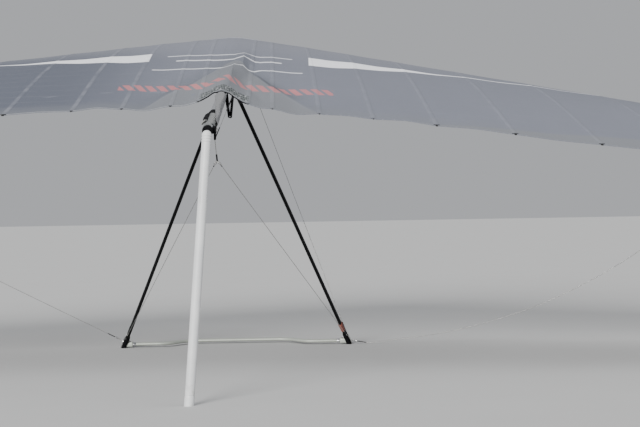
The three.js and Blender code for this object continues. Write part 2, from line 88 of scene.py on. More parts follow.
def ease(value, start, end):
    # 0 before start, 1 after end, and an even curve between them
    share = min(max((value - start) / (end - start), 0.0), 1.0)
    return share * share * (3 - 2 * share)


def smoothBetween(rows, place):
    # the values of a table between its rows, on a smooth curve
    place = min(max(place, rows[0][0]), rows[-1][0])
    row = max(k for k in range(len(rows) - 1) if rows[k][0] <= place)
    near, far = rows[row], rows[row + 1]
    step = far[0] - near[0]
    share = (place - near[0]) / step

    def slopes(k):
        before, after = rows[max(k - 1, 0)], rows[min(k + 1, len(rows) - 1)]
        return [(b - a) / (after[0] - before[0]) for a, b in zip(before[1:], after[1:])]

    values = []
    for a, b, slopeA, slopeB in zip(near[1:], far[1:], slopes(row), slopes(row + 1)):
        bend = share * share * (3 - 2 * share)
        pull = share * (1 - share) ** 2 * slopeA * step - share * share * (1 - share) * slopeB * step
        values.append(a + (b - a) * bend + pull)
    return values


# Shapes that the pieces share

def turned(form, profile, place, steps):
    # a profile of radius and height, spun about the frame's Z axis
    before = set(form.verts)
    line = [form.verts.new((radius, 0.0, height)) for radius, height in profile]
    edges = [form.edges.new(pair) for pair in zip(line, line[1:])]
    bmesh.ops.spin(form, geom=line + edges, cent=(0, 0, 0), axis=(0, 0, 1), dvec=(0, 0, 0),
                   angle=2 * math.pi, steps=steps, use_merge=True)
    made = [vert for vert in form.verts if vert not in before]
    bmesh.ops.remove_doubles(form, verts=made, dist=1e-6)
    made = [vert for vert in form.verts if vert not in before]
    bmesh.ops.transform(form, matrix=place, verts=made)


def swept(form, frames, outline, count):
    # a ring of the outline's shape, pulled on from frame to frame, closed at both ends
    ring = bmesh.ops.create_circle(form, cap_ends=False, segments=count, radius=1.0)["verts"]
    for vert in ring:
        vert.co = outline(vert.co.x, vert.co.y)
    bmesh.ops.transform(form, matrix=frames[0], verts=ring)
    firstEdges = edges = list({edge for vert in ring for edge in vert.link_edges})
    for before, after in zip(frames, frames[1:]):
        grown = bmesh.ops.extrude_edge_only(form, edges=edges)["geom"]
        ring = {part for part in grown if isinstance(part, bmesh.types.BMVert)}
        bmesh.ops.transform(form, matrix=after @ before.inverted(), verts=list(ring))
        edges = [part for part in grown if isinstance(part, bmesh.types.BMEdge)
                 and part.verts[0] in ring and part.verts[1] in ring]
    bmesh.ops.edgeloop_fill(form, edges=firstEdges)
    bmesh.ops.edgeloop_fill(form, edges=edges)


def block(form, size, place, edge, steps):
    cube = bmesh.ops.create_cube(form, size=1.0, matrix=place @ Matrix.Diagonal((*size, 1.0)))["verts"]
    edges = list({part for vert in cube for part in vert.link_edges})
    bmesh.ops.bevel(form, geom=edges, offset=edge, offset_type="OFFSET", segments=steps, profile=0.5,
                    affect="EDGES", material=-1)


def bolt(form, place, size=0.005, rise=0.0042):
    turned(form, [(0, 0), (1.8 * size, 0), (1.8 * size, 0.0009), (0, 0.0009)], place, 20)
    turned(form, [(0, 0.001), (1.12 * size, 0.001), (1.12 * size, rise - 0.0006), (0.9 * size, rise),
                  (0, rise)], place, 6)


def boltedFaces(form, place, out, half, up, size):
    # a bolt on the front face and one on the rear face of a part
    for face in (1, -1):
        bolt(form, place @ moved(out, face * half, up) @ spun(-90 * face, "X"), size)


def rod(form, radius, start, end, place, steps):
    turned(form, [(0, start), (radius, start), (radius, end), (0, end)], place, steps)


def oval(across, up):
    return lambda x, y: Vector((across * x, up * y, 0.0))


def stacked(place, steps):
    # frames up a place's Z: the height of each, and the size of its section
    return [place @ moved(0, 0, height) @ Matrix.Diagonal((across, deep, 1, 1))
            for height, across, deep in steps]


def cutAbove(form, floor):
    # what lies above a floor, and the edges where the rest is cut off
    cut = bmesh.ops.bisect_plane(form, geom=form.verts[:] + form.edges[:] + form.faces[:],
                                 plane_co=(0, 0, floor), plane_no=(0, 0, -1), clear_outer=True)["geom_cut"]
    return [part for part in cut if isinstance(part, bmesh.types.BMEdge)]


def grown(form, columns, rows, placeOf, joined=False):
    # a grid whose points are put in place by column and row, with its lay and seam maps
    across, down = len(columns) - 1, len(rows) - 1
    before = set(form.verts)
    bmesh.ops.create_grid(form, x_segments=across, y_segments=down, size=0.5)
    lay = form.loops.layers.uv.get("lay") or form.loops.layers.uv.new("lay")
    seam = form.loops.layers.uv.get("seam") or form.loops.layers.uv.new("seam")
    made = [vert for vert in form.verts if vert not in before]
    flats = {}
    for vert in made:
        column = columns[round((vert.co.x + 0.5) * across)]
        row = rows[round((vert.co.y + 0.5) * down)]
        vert.co, laid, near = placeOf(column, row)
        flats[vert] = (laid, near)
    for face in {face for vert in made for face in vert.link_faces}:
        for loop in face.loops:
            loop[lay].uv, loop[seam].uv = flats[loop.vert]
    if joined:
        bmesh.ops.remove_doubles(form, verts=made, dist=2e-5)


def strutFrame(start, end, forward):
    along = (end - start).normalized()
    side = forward.cross(along).normalized()
    front = along.cross(side)
    return Matrix.Translation(start) @ Matrix((side, front, along)).transposed().to_4x4()


def pathFrames(points, forward):
    # a frame at each point of a path, with its Z along the path: forward is one way, or one for each point
    forwards = forward if isinstance(forward, list) else [forward] * len(points)
    frames = []
    for k, point in enumerate(points):
        before, after = points[max(k - 1, 0)], points[min(k + 1, len(points) - 1)]
        turn = strutFrame(before, after, forwards[k]).to_3x3()
        frames.append(Matrix.Translation(point) @ turn.to_4x4())
    return frames


def runsAlong(points):
    # metres from the start of a path to each of its points
    runs = [0.0]
    for before, after in zip(points, points[1:]):
        runs.append(runs[-1] + (after - before).length)
    return runs


def addPiece(name, form, finish, body="glider", instead=(), crease=38.0):
    bmesh.ops.recalc_face_normals(form, faces=form.faces)
    for face in form.faces:
        face.smooth = True
    for edge in form.edges:
        # an open edge is sharp too, because a thickened cloth gets its rim there
        edge.smooth = len(edge.link_faces) == 2 and edge.calc_face_angle(0.0) < math.radians(crease)
    mesh = bpy.data.meshes.new(name)
    form.to_mesh(mesh)
    form.free()
    mesh.materials.append(finish)
    piece = bpy.data.objects.new(name, mesh)
    bpy.context.collection.objects.link(piece)
    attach(piece, body)
    if instead:
        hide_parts(*instead)
    return piece


def thicken(piece, thickness, offset=-1.0):
    wall = piece.modifiers.new("wall", "SOLIDIFY")
    wall.thickness = thickness
    wall.offset = offset


def roundEdges(piece, name, width, segments):
    soft = piece.modifiers.new(name, "BEVEL")
    soft.width = width
    soft.segments = segments
    soft.limit_method = "ANGLE"
    return soft


# Finishes

class Strand:
    # One socket of a finish, so that patterns are added and multiplied as plain numbers are
    def __init__(self, tree, socket=None):
        self.tree = tree
        self.socket = socket

    def node(self, kind, settings=None, values=None, out=0):
        made = self.tree.nodes.new(kind)
        for name, setting in (settings or {}).items():
            if name == "stops":
                ramp = made.color_ramp
                for spot, value in setting[1:-1]:
                    ramp.elements.new(spot)
                for element, (spot, value) in zip(ramp.elements, setting):
                    element.position = spot
                    element.color = (value, value, value, 1.0)
            elif name == "blending":
                made.color_ramp.interpolation = setting
            else:
                setattr(made, name, setting)
        for name, value in (values or {}).items():
            if isinstance(value, Strand):
                self.tree.links.new(value.socket, made.inputs[name])
            elif hasattr(value, "__len__") and len(value) == 3 and made.inputs[name].type == "RGBA":
                made.inputs[name].default_value = (*value, 1.0)
            else:
                made.inputs[name].default_value = value
        return Strand(self.tree, made.outputs[out])

    def maths(self, operation, first, second=0.0):
        return self.node("ShaderNodeMath", {"operation": operation}, {0: first, 1: second})

    def __add__(self, other):
        return self.maths("ADD", self, other)

    def __radd__(self, other):
        return self.maths("ADD", other, self)

    def __sub__(self, other):
        return self.maths("SUBTRACT", self, other)

    def __rsub__(self, other):
        return self.maths("SUBTRACT", other, self)

    def __mul__(self, other):
        return self.maths("MULTIPLY", self, other)

    def __rmul__(self, other):
        return self.maths("MULTIPLY", other, self)

    def __truediv__(self, other):
        return self.maths("DIVIDE", self, other)

    def __abs__(self):
        return self.maths("ABSOLUTE", self)

    def rising(self, start, end):
        # 0 where this is below start, 1 where it is above end, soft between them
        return self.node("ShaderNodeMapRange", {"interpolation_type": "SMOOTHSTEP", "clamp": True},
                         {"Value": self, "From Min": start, "From Max": end, "To Min": 0.0, "To Max": 1.0})

    def falling(self, start, end):
        return 1.0 - self.rising(start, end)

    def zigzag(self, pitch):
        # from 0 up to 1 and back, over and over
        return self.maths("PINGPONG", self, pitch) / pitch


def newFinish(name, roughness, metallic=0.0, **values):
    # a material with its shader's even values, and a strand from which its patterns start
    material = bpy.data.materials.new(name)
    material.use_nodes = True
    shader = material.node_tree.nodes["Principled BSDF"]
    shader.inputs["Roughness"].default_value = roughness
    shader.inputs["Metallic"].default_value = metallic
    for label, value in values.items():
        shader.inputs[label.replace("_", " ")].default_value = value
    return material, Strand(material.node_tree), shader


def feed(shader, label, strand):
    strand.tree.links.new(strand.socket, shader.inputs[label])


def dress(shader, colour, roughness, normal):
    feed(shader, "Base Color", colour)
    feed(shader, "Roughness", roughness)
    feed(shader, "Normal", normal)


def toned(colour, factor):
    return tuple(min(part * factor, 1.0) for part in colour)


def blended(factor, first, second):
    return factor.node("ShaderNodeMix", {"data_type": "RGBA", "clamp_factor": True},
                       {0: factor, 6: first, 7: second}, out=2)


def onObject(start, scale=(1, 1, 1), turn=(0, 0, 0)):
    place = start.node("ShaderNodeTexCoord", out="Object")
    return start.node("ShaderNodeMapping", {}, {"Vector": place, "Scale": scale, "Rotation": turn})


def speckle(start, scale, detail=3.0, place=None, roughness=0.55):
    return start.node("ShaderNodeTexNoise", {}, {"Vector": place or onObject(start), "Scale": scale,
                                                "Detail": detail, "Roughness": roughness}, out="Fac")


def relief(start, height, distance, strength):
    return start.node("ShaderNodeBump", {}, {"Height": height, "Distance": distance, "Strength": strength},
                      out="Normal")


def layMap(start, name):
    laid = start.node("ShaderNodeUVMap", {"uv_map": name})
    split = laid.node("ShaderNodeSeparateXYZ", {}, {"Vector": laid}, out="X")
    return split, Strand(start.tree, split.socket.node.outputs["Y"])


def plainMetal(name, colour, roughness, grainTurn=(0, 0, 0), metallic=1.0, wear=0.12, **values):
    # metal with a fine drawn grain, faint smudges and rubbed spots
    material, start, shader = newFinish(name, roughness, metallic, **values)
    grain = speckle(start, 60, 4, onObject(start, (1, 0.06, 1), grainTurn))
    smudge = speckle(start, 14, 5)
    fine = speckle(start, 240, 2)
    dress(shader, blended(0.6 * smudge + 0.4 * grain, toned(colour, 1 - wear), toned(colour, 1 + wear)),
          roughness - 0.08 + 0.12 * smudge + 0.06 * grain,
          relief(start, grain + 0.3 * fine, 0.00008, 0.5))
    return material


# Colours of the sail's cloth, its threads, bars and seams: the greys are matched by mean tones
# to the light of one photograph. The other values are places along the keel, and the rear edge's sweep.
sailLook = {
    "grey": (0.150, 0.160, 0.197),
    # painted shade of the left half
    "leftPaintedShade": (0.086, 0.096, 0.127),
    "paleGrey": (0.205, 0.213, 0.250),
    "rearGrey": (0.190, 0.198, 0.216),
    "archGrey": (0.150, 0.165, 0.160),
    "white": (0.93, 0.94, 0.98),
    "red": (0.60, 0.190, 0.195),
    "stitch": (0.10, 0.105, 0.11),
    # painted shade in front of the pale fan's edge
    "shade": (0.120, 0.130, 0.152),
    "pocket": (0.34, 0.35, 0.40),
    # painted shade of creases, over the keel and on the arch
    "creaseShade": (0.035, 0.040, 0.042),
    "dirt": (0.16, 0.16, 0.15),
    "roughness": 0.58,
    "rearEdge": 1.25, "rearSweep": 0.148, "barAlong": 2.24, "dashesAlong": 1.55, "fanAlong": 1.1,
}
# Front edge of the pale fan: share of 0.6 m off its middle, and metres in front of fanAlong
fanStops = [(0.0, 0.98), (0.06, 0.93), (0.21, 0.72), (0.37, 0.49), (0.59, 0.31), (0.82, 0.03), (1.0, 0.0)]
# Thin white lines across the keel: metres along it, how far they reach out, and half their width
thinLines = [(2.270, 0.36, 0.008), (2.135, 0.30, 0.012), (1.930, 0.42, 0.008)]


def makeSailCloth():
    material, start, shader = newFinish("sail_cloth", sailLook["roughness"], Specular_IOR_Level=0.25)
    out, along = layMap(start, "lay")
    near, share = layMap(start, "seam")
    offCentre = abs(out)
    onTop = share.rising(-0.01, 0.01)
    broad = speckle(start, 1.3, 3)
    cloudy = speckle(start, 9, 4)
    lit = 0.55 * broad + 0.45 * cloudy
    colour = blended(lit.rising(0.3, 0.75), sailLook["grey"], toned(sailLook["grey"], 1.07))
    # painted shade: the left half is darker than the right one
    leftward = (0.0 - out).rising(0.10, 0.95)
    colour = blended(leftward * onTop, colour, sailLook["leftPaintedShade"])
    # painted light: the right half is a little paler
    colour = blended(0.10 * out.rising(0.3, 2.4) * onTop, colour, sailLook["paleGrey"])
    # towards the nose the cloth is paler
    colour = blended(0.72 * along.rising(2.05, 2.75) * onTop, colour, sailLook["paleGrey"])
    # load threads that run along the span, and the fine square thread grid
    waver = 0.018 * speckle(start, 3.1, 2) + 0.03 * out * out
    spanThreads = (along + waver).zigzag(0.052).falling(0.0, 0.13) * speckle(start, 5, 2).rising(0.35, 0.6)
    colour = blended(0.28 * spanThreads, colour, sailLook["paleGrey"])
    fineAcross = out.zigzag(0.003)
    fineAlong = along.zigzag(0.003)
    grid = start.maths("MAXIMUM", fineAcross.falling(0.0, 0.22), fineAlong.falling(0.0, 0.22))
    colour = blended(0.10 * grid, colour, sailLook["white"])
    # the pale fan over the keel: its front edge falls from a peak above the ridge to the trailing edge,
    # and painted shade darkens the cloth a little in front of that edge
    shifted = abs(out - 0.035) / 0.6
    fanEdge = start.node("ShaderNodeValToRGB", {"stops": fanStops, "blending": "LINEAR"}, {"Fac": shifted})
    ahead = along - fanEdge - sailLook["fanAlong"]
    shade = ahead.falling(0.05, 0.30) * offCentre.falling(0.35, 0.75) * onTop
    colour = blended(0.45 * shade, colour, sailLook["shade"])
    fan = ahead.falling(-0.016, 0.012) * onTop
    colour = blended(0.85 * fan, colour, sailLook["rearGrey"])
    # painted shade in the crease just in front of the fan's edge, darker on its right side
    creaseReach = offCentre.rising(0.12, 0.22) * offCentre.falling(0.28, 0.42) * onTop
    crease = abs(ahead - 0.034).falling(0.002, 0.048) * creaseReach
    colour = blended((0.14 + 0.30 * out.rising(0.0, 0.1)) * crease, colour, sailLook["creaseShade"])
    rimReach = offCentre.rising(0.10, 0.22) * offCentre.falling(0.40, 0.55)
    paleRim = abs(ahead + 0.022).falling(0.004, 0.018) * rimReach
    colour = blended(0.35 * paleRim * onTop, colour, sailLook["paleGrey"])
    rearBand = (along + sailLook["rearSweep"] * offCentre + 0.06 * cloudy).falling(1.30, 1.46) * onTop
    colour = blended((0.30 + 0.15 * leftward) * rearBand, colour, sailLook["rearGrey"])
    # pockets of the ribs: double cloth, with a row of stitches at each edge
    patchy = 0.25 + 0.75 * speckle(start, 11, 4).rising(0.36, 0.66)
    ragged = near + 0.006 * speckle(start, 30, 3) - 0.003
    pocket = ragged.falling(0.0060, 0.0170) * patchy * (0.45 + 0.55 * leftward)
    colour = blended(0.34 * pocket, colour, sailLook["pocket"])
    stitchRow = abs(near - 0.0132).falling(0.0004, 0.0012)
    stitches = stitchRow * along.zigzag(0.003).rising(0.25, 0.4)
    colour = blended(0.5 * stitches, colour, sailLook["stitch"])
    # one long white bar on each side, wider towards the keel, and three thin lines across the keel
    barReach = offCentre.rising(0.40, 0.52) * offCentre.falling(2.20, 2.42)
    barHalf = 0.010 + 0.100 * offCentre.falling(0.45, 1.35)
    barMiddle = sailLook["barAlong"] - 0.020 * offCentre
    longBar = (abs(along - barMiddle) - barHalf).falling(-0.004, 0.004) * barReach.rising(0.5, 0.56)
    colour = blended(0.93 * longBar * onTop, colour, sailLook["white"])
    for lineAlong, reach, half in thinLines:
        thinLine = (abs(along - lineAlong) - half).falling(-0.003, 0.003)
        thinLine = thinLine * offCentre.falling(reach, reach + 0.01)
        colour = blended(0.72 * thinLine * onTop, colour, sailLook["white"])
    # a row of slanted dashes of faded red behind them
    dash = (out + 0.45 * (along - sailLook["dashesAlong"])).zigzag(0.030).rising(0.30, 0.42)
    dashRow = (abs(along - sailLook["dashesAlong"] - 0.02 * offCentre) - 0.050).falling(-0.006, 0.006)
    dashes = dash * dashRow * abs(out - 0.01).falling(0.575, 0.585)
    colour = blended(0.62 * dashes * onTop * (0.7 + 0.5 * cloudy), colour, sailLook["red"])
    # the doubled cloth over the arch is puckered: short creases in a curved row, with painted shade in them
    # and painted highlights beside them
    behind = along + sailLook["rearSweep"] * offCentre - sailLook["rearEdge"]
    archRows = behind.falling(0.125, 0.165) * behind.rising(0.020, 0.030)
    arch = abs(out - 0.012).falling(0.112, 0.140) * archRows * onTop
    colour = blended(0.65 * arch, colour, sailLook["archGrey"])
    creaseLay = start.node("ShaderNodeCombineXYZ", {}, {"X": out, "Y": 0.22 * along})
    gathers = speckle(start, 70, 2, creaseLay)
    fleck = speckle(start, 40, 2)
    rows = (out + 0.10 * behind).zigzag(0.0065).rising(0.40, 0.62)
    steps = (behind + 0.012 * fleck).zigzag(0.020).rising(0.25, 0.45)
    # painted shade in the short creases
    dark = (0.35 + 0.65 * rows) * steps * gathers.rising(0.37, 0.48)
    colour = blended(0.95 * arch * dark, colour, sailLook["creaseShade"])
    # painted highlights beside the short creases
    colour = blended(0.22 * arch * gathers.falling(0.36, 0.44), colour, sailLook["white"])
    dirt = speckle(start, 22, 6).rising(0.58, 0.8)
    colour = blended(0.16 * dirt, colour, sailLook["dirt"])
    creases = speckle(start, 6, 5, onObject(start, (1.0, 0.35, 1.0)))
    height = 0.0006 * grid + 0.0016 * spanThreads - 0.0014 * stitches + 0.006 * creases
    dress(shader, colour, sailLook["roughness"] - 0.05 + 0.12 * cloudy + 0.05 * grid,
          relief(start, height, 0.35, 0.6))
    return material


def makeEdgeCloth(name, colour, pale):
    # smooth laminated cloth of the leading edges, tips and nose
    material, start, shader = newFinish(name, 0.38, Specular_IOR_Level=0.5, Coat_Roughness=0.3)
    out, along = layMap(start, "lay")
    near = layMap(start, "seam")[0]
    broad = speckle(start, 2.2, 4)
    weave = (out + along).zigzag(0.004)
    weaveBack = (out - along).zigzag(0.004)
    threads = start.maths("MAXIMUM", weave.falling(0.0, 0.2), weaveBack.falling(0.0, 0.2))
    tint = blended(broad.rising(0.3, 0.7), colour, pale)
    tint = blended(0.14 * threads, tint, sailLook["white"])
    hem = near.falling(0.008, 0.010)
    tint = blended(0.3 * hem, tint, sailLook["white"])
    stitches = abs(near - 0.0065).falling(0.0004, 0.0011) * out.zigzag(0.003).rising(0.25, 0.4)
    tint = blended(0.55 * stitches, tint, sailLook["stitch"])
    scuff = speckle(start, 18, 6).rising(0.6, 0.8)
    tint = blended(0.18 * scuff, tint, (0.2, 0.2, 0.19))
    height = 0.0005 * threads + 0.008 * speckle(start, 4, 4) - 0.001 * stitches
    dress(shader, tint, 0.33 + 0.14 * broad + 0.08 * threads, relief(start, height, 0.4, 0.5))
    return material


def makeWovenCloth(name, colour, dark, pitch, roughness=0.85, depth=0.0003, sheen=0.15, shine=0.3):
    # plain woven cloth or webbing, from its lay map
    material, start, shader = newFinish(name, roughness, Sheen_Weight=sheen, Sheen_Roughness=0.5,
                                        Specular_IOR_Level=shine)
    out, along = layMap(start, "lay")
    warp = out.zigzag(pitch)
    weft = along.zigzag(pitch)
    shifted = (along + pitch).zigzag(pitch)
    over = start.maths("ROUND", start.maths("PINGPONG", out / (2 * pitch), 1.0))
    threads = warp * (over * weft + (1.0 - over) * shifted)
    shade = speckle(start, 11, 5)
    fuzz = speckle(start, 160, 3)
    tint = blended(0.5 * threads + 0.3 * shade + 0.2 * fuzz, dark, colour)
    dust = speckle(start, 34, 5).rising(0.55, 0.8)
    tint = blended(0.12 * dust, tint, tuple(min(1.4 * c + 0.02, 0.42) for c in colour))
    dress(shader, tint, roughness - 0.06 + 0.12 * fuzz,
          relief(start, threads + 0.4 * fuzz + 1.2 * shade, depth, 0.8))
    return material


def makeMatt(name, colour, roughness, grainScale, depth, wear=(0.3, 0.3, 0.29), wearAmount=0.25, **values):
    # rubber, moulded plastic and foam: fine grain, pale rubbed spots
    material, start, shader = newFinish(name, roughness, **values)
    grain = speckle(start, grainScale, 3)
    patches = speckle(start, 20, 5)
    tint = blended(0.5 * patches + 0.5 * grain, toned(colour, 0.85), toned(colour, 1.15))
    tint = blended(wearAmount * patches.rising(0.58, 0.75), tint, wear)
    dress(shader, tint, roughness - 0.08 + 0.16 * patches, relief(start, grain, depth, 0.7))
    return material


def makeBlackTube():
    # black anodised tube: soft sheen, faint long scratches, a little dust
    material, start, shader = newFinish("black_tube", 0.46, 0.0, Specular_IOR_Level=0.07)
    scratch = speckle(start, 55, 4, onObject(start, (1.0, 1.0, 0.05), (0.35, -0.45, 0.0)))
    dust = speckle(start, 9, 6)
    tint = blended(scratch.rising(0.62, 0.72), (0.0042, 0.0044, 0.0048), (0.012, 0.012, 0.013))
    tint = blended(0.06 * dust.rising(0.5, 0.8), tint, (0.08, 0.077, 0.070))
    dress(shader, tint, 0.40 + 0.20 * dust + 0.06 * scratch, relief(start, scratch, 0.00008, 0.5))
    return material


def makeCable():
    # stainless cable: strands laid around it, from its lay map of turns and metres
    material, start, shader = newFinish("stay_cable", 0.34, 1.0)
    turn, along = layMap(start, "lay")
    strands = (6.0 * turn + along / 0.0045).zigzag(0.5)
    smudge = speckle(start, 30, 4)
    tint = blended(strands, (0.26, 0.26, 0.25), (0.62, 0.62, 0.60))
    dress(shader, tint, 0.28 + 0.2 * smudge, relief(start, strands, 0.0003, 0.9))
    return material


def makePolePaint():
    # white painted pole: faint mottling, long scuffs, stains towards its foot
    material, start, shader = newFinish("pole_white", 0.42, 0.0, Specular_IOR_Level=0.5)
    height = start.node("ShaderNodeTexCoord", out="Object")
    up = height.node("ShaderNodeSeparateXYZ", {}, {"Vector": height}, out="Z")
    mottle = speckle(start, 12, 5)
    scratch = speckle(start, 40, 5, onObject(start, (1.0, 1.0, 0.04)))
    tint = blended(mottle.rising(0.35, 0.7), (0.66, 0.67, 0.68), (0.73, 0.74, 0.74))
    tint = blended(0.30 * scratch.rising(0.60, 0.70), tint, (0.36, 0.36, 0.35))
    stain = speckle(start, 26, 6).rising(0.50, 0.75) * up.falling(0.01, 0.16)
    tint = blended(0.40 * stain, tint, (0.17, 0.165, 0.10))
    dress(shader, tint, 0.36 + 0.14 * mottle + 0.2 * stain,
          relief(start, scratch + 0.5 * mottle, 0.00012, 0.6))
    return material


sailCloth = makeSailCloth()
edgeCloth = makeEdgeCloth("edge_cloth", (0.36, 0.37, 0.40), (0.42, 0.43, 0.455))
noseCloth = makeEdgeCloth("nose_cloth", (0.19, 0.20, 0.23), (0.23, 0.24, 0.27))
coverCloth = makeWovenCloth("cover_cloth", (0.21, 0.212, 0.222), (0.13, 0.133, 0.140), 0.0011, 0.72)
padCloth = makeWovenCloth("pad_cloth", (0.165, 0.175, 0.175), (0.08, 0.085, 0.088), 0.0016, 0.9, 0.0005, 0.2)
hemTape = makeWovenCloth("hem_tape", (0.44, 0.45, 0.47), (0.30, 0.31, 0.33), 0.0012, 0.7)
# near black: the binding's own colour, and painted shadow under the arch's hem
edgeBindingAndShadow = makeWovenCloth("edge_binding_and_shadow", (0.014, 0.015, 0.017), (0.005, 0.005, 0.006), 0.001,
                             sheen=0.0, shine=0.12)
blackWebbing = makeWovenCloth("black_webbing", (0.009, 0.009, 0.012), (0.003, 0.003, 0.004), 0.0014,
                              sheen=0.0, shine=0.10)
greyLoopTape = makeWovenCloth("grey_loop_tape", (0.40, 0.40, 0.38), (0.22, 0.22, 0.21), 0.0008,
                              0.95, 0.0012, 0.5)
redTape = makeMatt("red_tape", (0.22, 0.060, 0.042), 0.6, 300, 0.0002, (0.09, 0.045, 0.04), 0.5)
silverTube = plainMetal("silver_tube", (0.60, 0.61, 0.62), 0.34)
barMetal = plainMetal("bar_metal", (0.46, 0.49, 0.44), 0.45, (0, 0, 1.5708), 0.35)
brushedSteel = plainMetal("brushed_steel", (0.46, 0.46, 0.46), 0.32)
boltSteel = plainMetal("bolt_steel", (0.52, 0.52, 0.51), 0.28)
plateMetal = plainMetal("plate_metal", (0.50, 0.51, 0.53), 0.36)
darkSleeve = makeMatt("dark_sleeve", (0.010, 0.010, 0.011), 0.6, 220, 0.00006, (0.06, 0.06, 0.06),
                      Specular_IOR_Level=0.25)
blackRubber = makeMatt("black_rubber", (0.004, 0.004, 0.005), 0.75, 260, 0.00015, (0.02, 0.02, 0.019),
                       Specular_IOR_Level=0.06)
blackPlastic = makeMatt("black_plastic", (0.008, 0.008, 0.009), 0.55, 320, 0.00008, (0.05, 0.05, 0.05),
                        Specular_IOR_Level=0.3)
blackTube = makeBlackTube()
stayCable = makeCable()
polePaint = makePolePaint()
print("finishes made:", len(bpy.data.materials))

# Wing: plan, heights of its edges above the keel's axis, and the relief of its cloth
wing = {
    "nose": 3.5, "noseUp": 0.012, "sweep": -0.466, "droop": -0.08,
    "trailing": 1.25, "trailingSweep": -0.148, "rootGap": 0.036,
    "edgeRadius": 0.034, "edgeThinning": 0.002,
    "rootCamber": 0.0738, "spanCamber": 0.0765, "fullCamberOut": 0.42, "camberLoss": 0.003,
    "frontShare": 0.13, "merge": 0.85, "rearThickness": 0.0032,
    "tipStart": 4.5, "cloth": 0.0011,
    # the arch over the keel stands on a line through these heights, and fades towards the nose
    "archOut": 0.30, "archBase": -0.040, "archSlope": -0.05333, "archFrom": 0.45, "archFade": 1.3,
}
trailingHeights = [
    (-0.036, 0.0205), (0.0, 0.0315), (0.036, 0.0205), (0.078, -0.007), (0.13, -0.031), (0.30, -0.056),
    (0.78, -0.082), (1.5, -0.129), (2.3, -0.191), (3.2, -0.258), (4.0, -0.318), (4.5, -0.355),
]
# Distance out from the keel of the ribs, at the trailing edge, as each side shows them
ribs = {
    "right": [0.137, 0.266, 0.510, 0.787, 1.110, 1.507, 1.938, 2.38, 2.84, 3.30, 3.77, 4.20],
    "left": [0.119, 0.262, 0.510, 0.762, 1.100, 1.500, 1.935, 2.38, 2.84, 3.30, 3.77, 4.20],
}
pocketLook = {"rise": 0.0010, "lean": 0.072, "sag": 0.0045, "hollow": 0.0065}
# How far the trailing edge rises or sags between one rib and the next, from the keel outwards
edgeWaves = {
    "right": [0.0, -0.004, -0.011, 0.006, 0.011, 0.007, -0.003, 0.005, -0.004, 0.005, 0.004, -0.003, 0.0],
    "left": [0.0, -0.005, -0.012, 0.012, 0.006, 0.005, -0.004, 0.006, 0.004, -0.003, 0.005, 0.003, 0.0],
}
# Soft folds beside the ridge over the keel: start, end (out, along), depth and half width
folds = [
    ((0.06, 2.06), (0.40, 1.46), -0.0080, 0.034),
    ((0.00, 1.98), (-0.36, 1.42), -0.0075, 0.034),
    ((0.04, 1.80), (0.22, 1.32), -0.0060, 0.020),
    ((-0.02, 1.74), (-0.20, 1.30), -0.0070, 0.022),
    ((0.12, 1.66), (0.56, 1.34), 0.0045, 0.030),
    ((-0.12, 1.62), (-0.50, 1.30), 0.0045, 0.028),
    ((0.03, 1.60), (0.10, 1.27), -0.0035, 0.013),
    ((-0.03, 1.56), (-0.09, 1.27), -0.0035, 0.013),
]


def stationAt(out):
    # edges, camber and nose radius of the wing at a distance out from the keel
    out = max(abs(out), wing["rootGap"])
    if out <= wing["tipStart"]:
        leading = wing["nose"] + wing["sweep"] * out
        leadingUp = wing["noseUp"] + wing["droop"] * out
        trailing = wing["trailing"] + wing["trailingSweep"] * out
        camber = wing["rootCamber"]
        camber += (wing["spanCamber"] - wing["rootCamber"]) * min(out / wing["fullCamberOut"], 1.0)
        camber -= wing["camberLoss"] * max(out - wing["fullCamberOut"], 0.0)
        radius = wing["edgeRadius"] - wing["edgeThinning"] * out
        trailingUp = smoothBetween(trailingHeights, out)[0]
        return leading, leadingUp, trailing, trailingUp, camber, radius
    return tuple(smoothBetween(tipRows, out))


tipRows = [
    (4.2, *stationAt(4.2)), (4.5, *stationAt(4.5)),
    (4.8, 1.225, -0.372, 0.540, -0.372, 0.06, 0.022),
    (5.0, 1.010, -0.386, 0.520, -0.386, 0.05, 0.016),
    (5.12, 0.700, -0.394, 0.505, -0.394, 0.03, 0.009),
]


def foldRelief(out, along):
    # the ridge that leans to the right over the keel, with a hollow on its right and a wide one over the
    # keel, and the folds beside them
    share = (along - 1.25) / 0.90
    ridgeOut = 0.088 * min(max(share, 0.0), 1.0)
    off = out - ridgeOut
    height = 0.026 * ease(share, 0.05, 0.60)
    height = height * (1 - 0.6 * ease(share, 0.95, 1.25)) * (1 - ease(share, 1.10, 1.50))
    flank = 0.034 if off > 0 else 0.040
    up = height * (math.exp(-(off / flank) ** 2) - 0.25 * math.exp(-((off - 0.080) / 0.032) ** 2))
    centre = ease(share, 0.45, 0.85) * (1 - ease(share, 0.90, 1.30))
    up -= 0.012 * math.exp(-((out + 0.025) / 0.075) ** 2) * centre
    for (startOut, startAlong), (endOut, endAlong), depth, width in folds:
        run = Vector((endOut - startOut, endAlong - startAlong))
        gone = Vector((out - startOut, along - startAlong))
        part = gone.dot(run) / run.length_squared
        if -0.2 < part < 1.2:
            off = abs(gone.x * run.y - gone.y * run.x) / run.length
            up += depth * math.exp(-(off / width) ** 2) * ease(part, -0.15, 0.25) * ease(-part, -1.15, -0.7)
    return up


def topUp(station, out, share):
    leading, leadingUp, trailing, trailingUp, camber, radius = station
    chord = leading - trailing
    arch = 0.0
    if abs(out) < wing["archOut"]:
        arch = trailingUp - wing["archBase"] - wing["archSlope"] * abs(out)
    base = leadingUp + share * (trailingUp - arch - leadingUp)
    base += arch * (max(share - wing["archFrom"], 0.0) / (1 - wing["archFrom"])) ** wing["archFade"]
    bulge = share ** 0.5 * (1 - share) ** 1.15 / 0.3635
    up = base + camber * chord * bulge + (0.002 if share == 0 else 0.0)
    if abs(out) < 0.9 and share > 0.2:
        up += foldRelief(out, leading - share * chord)
    return up


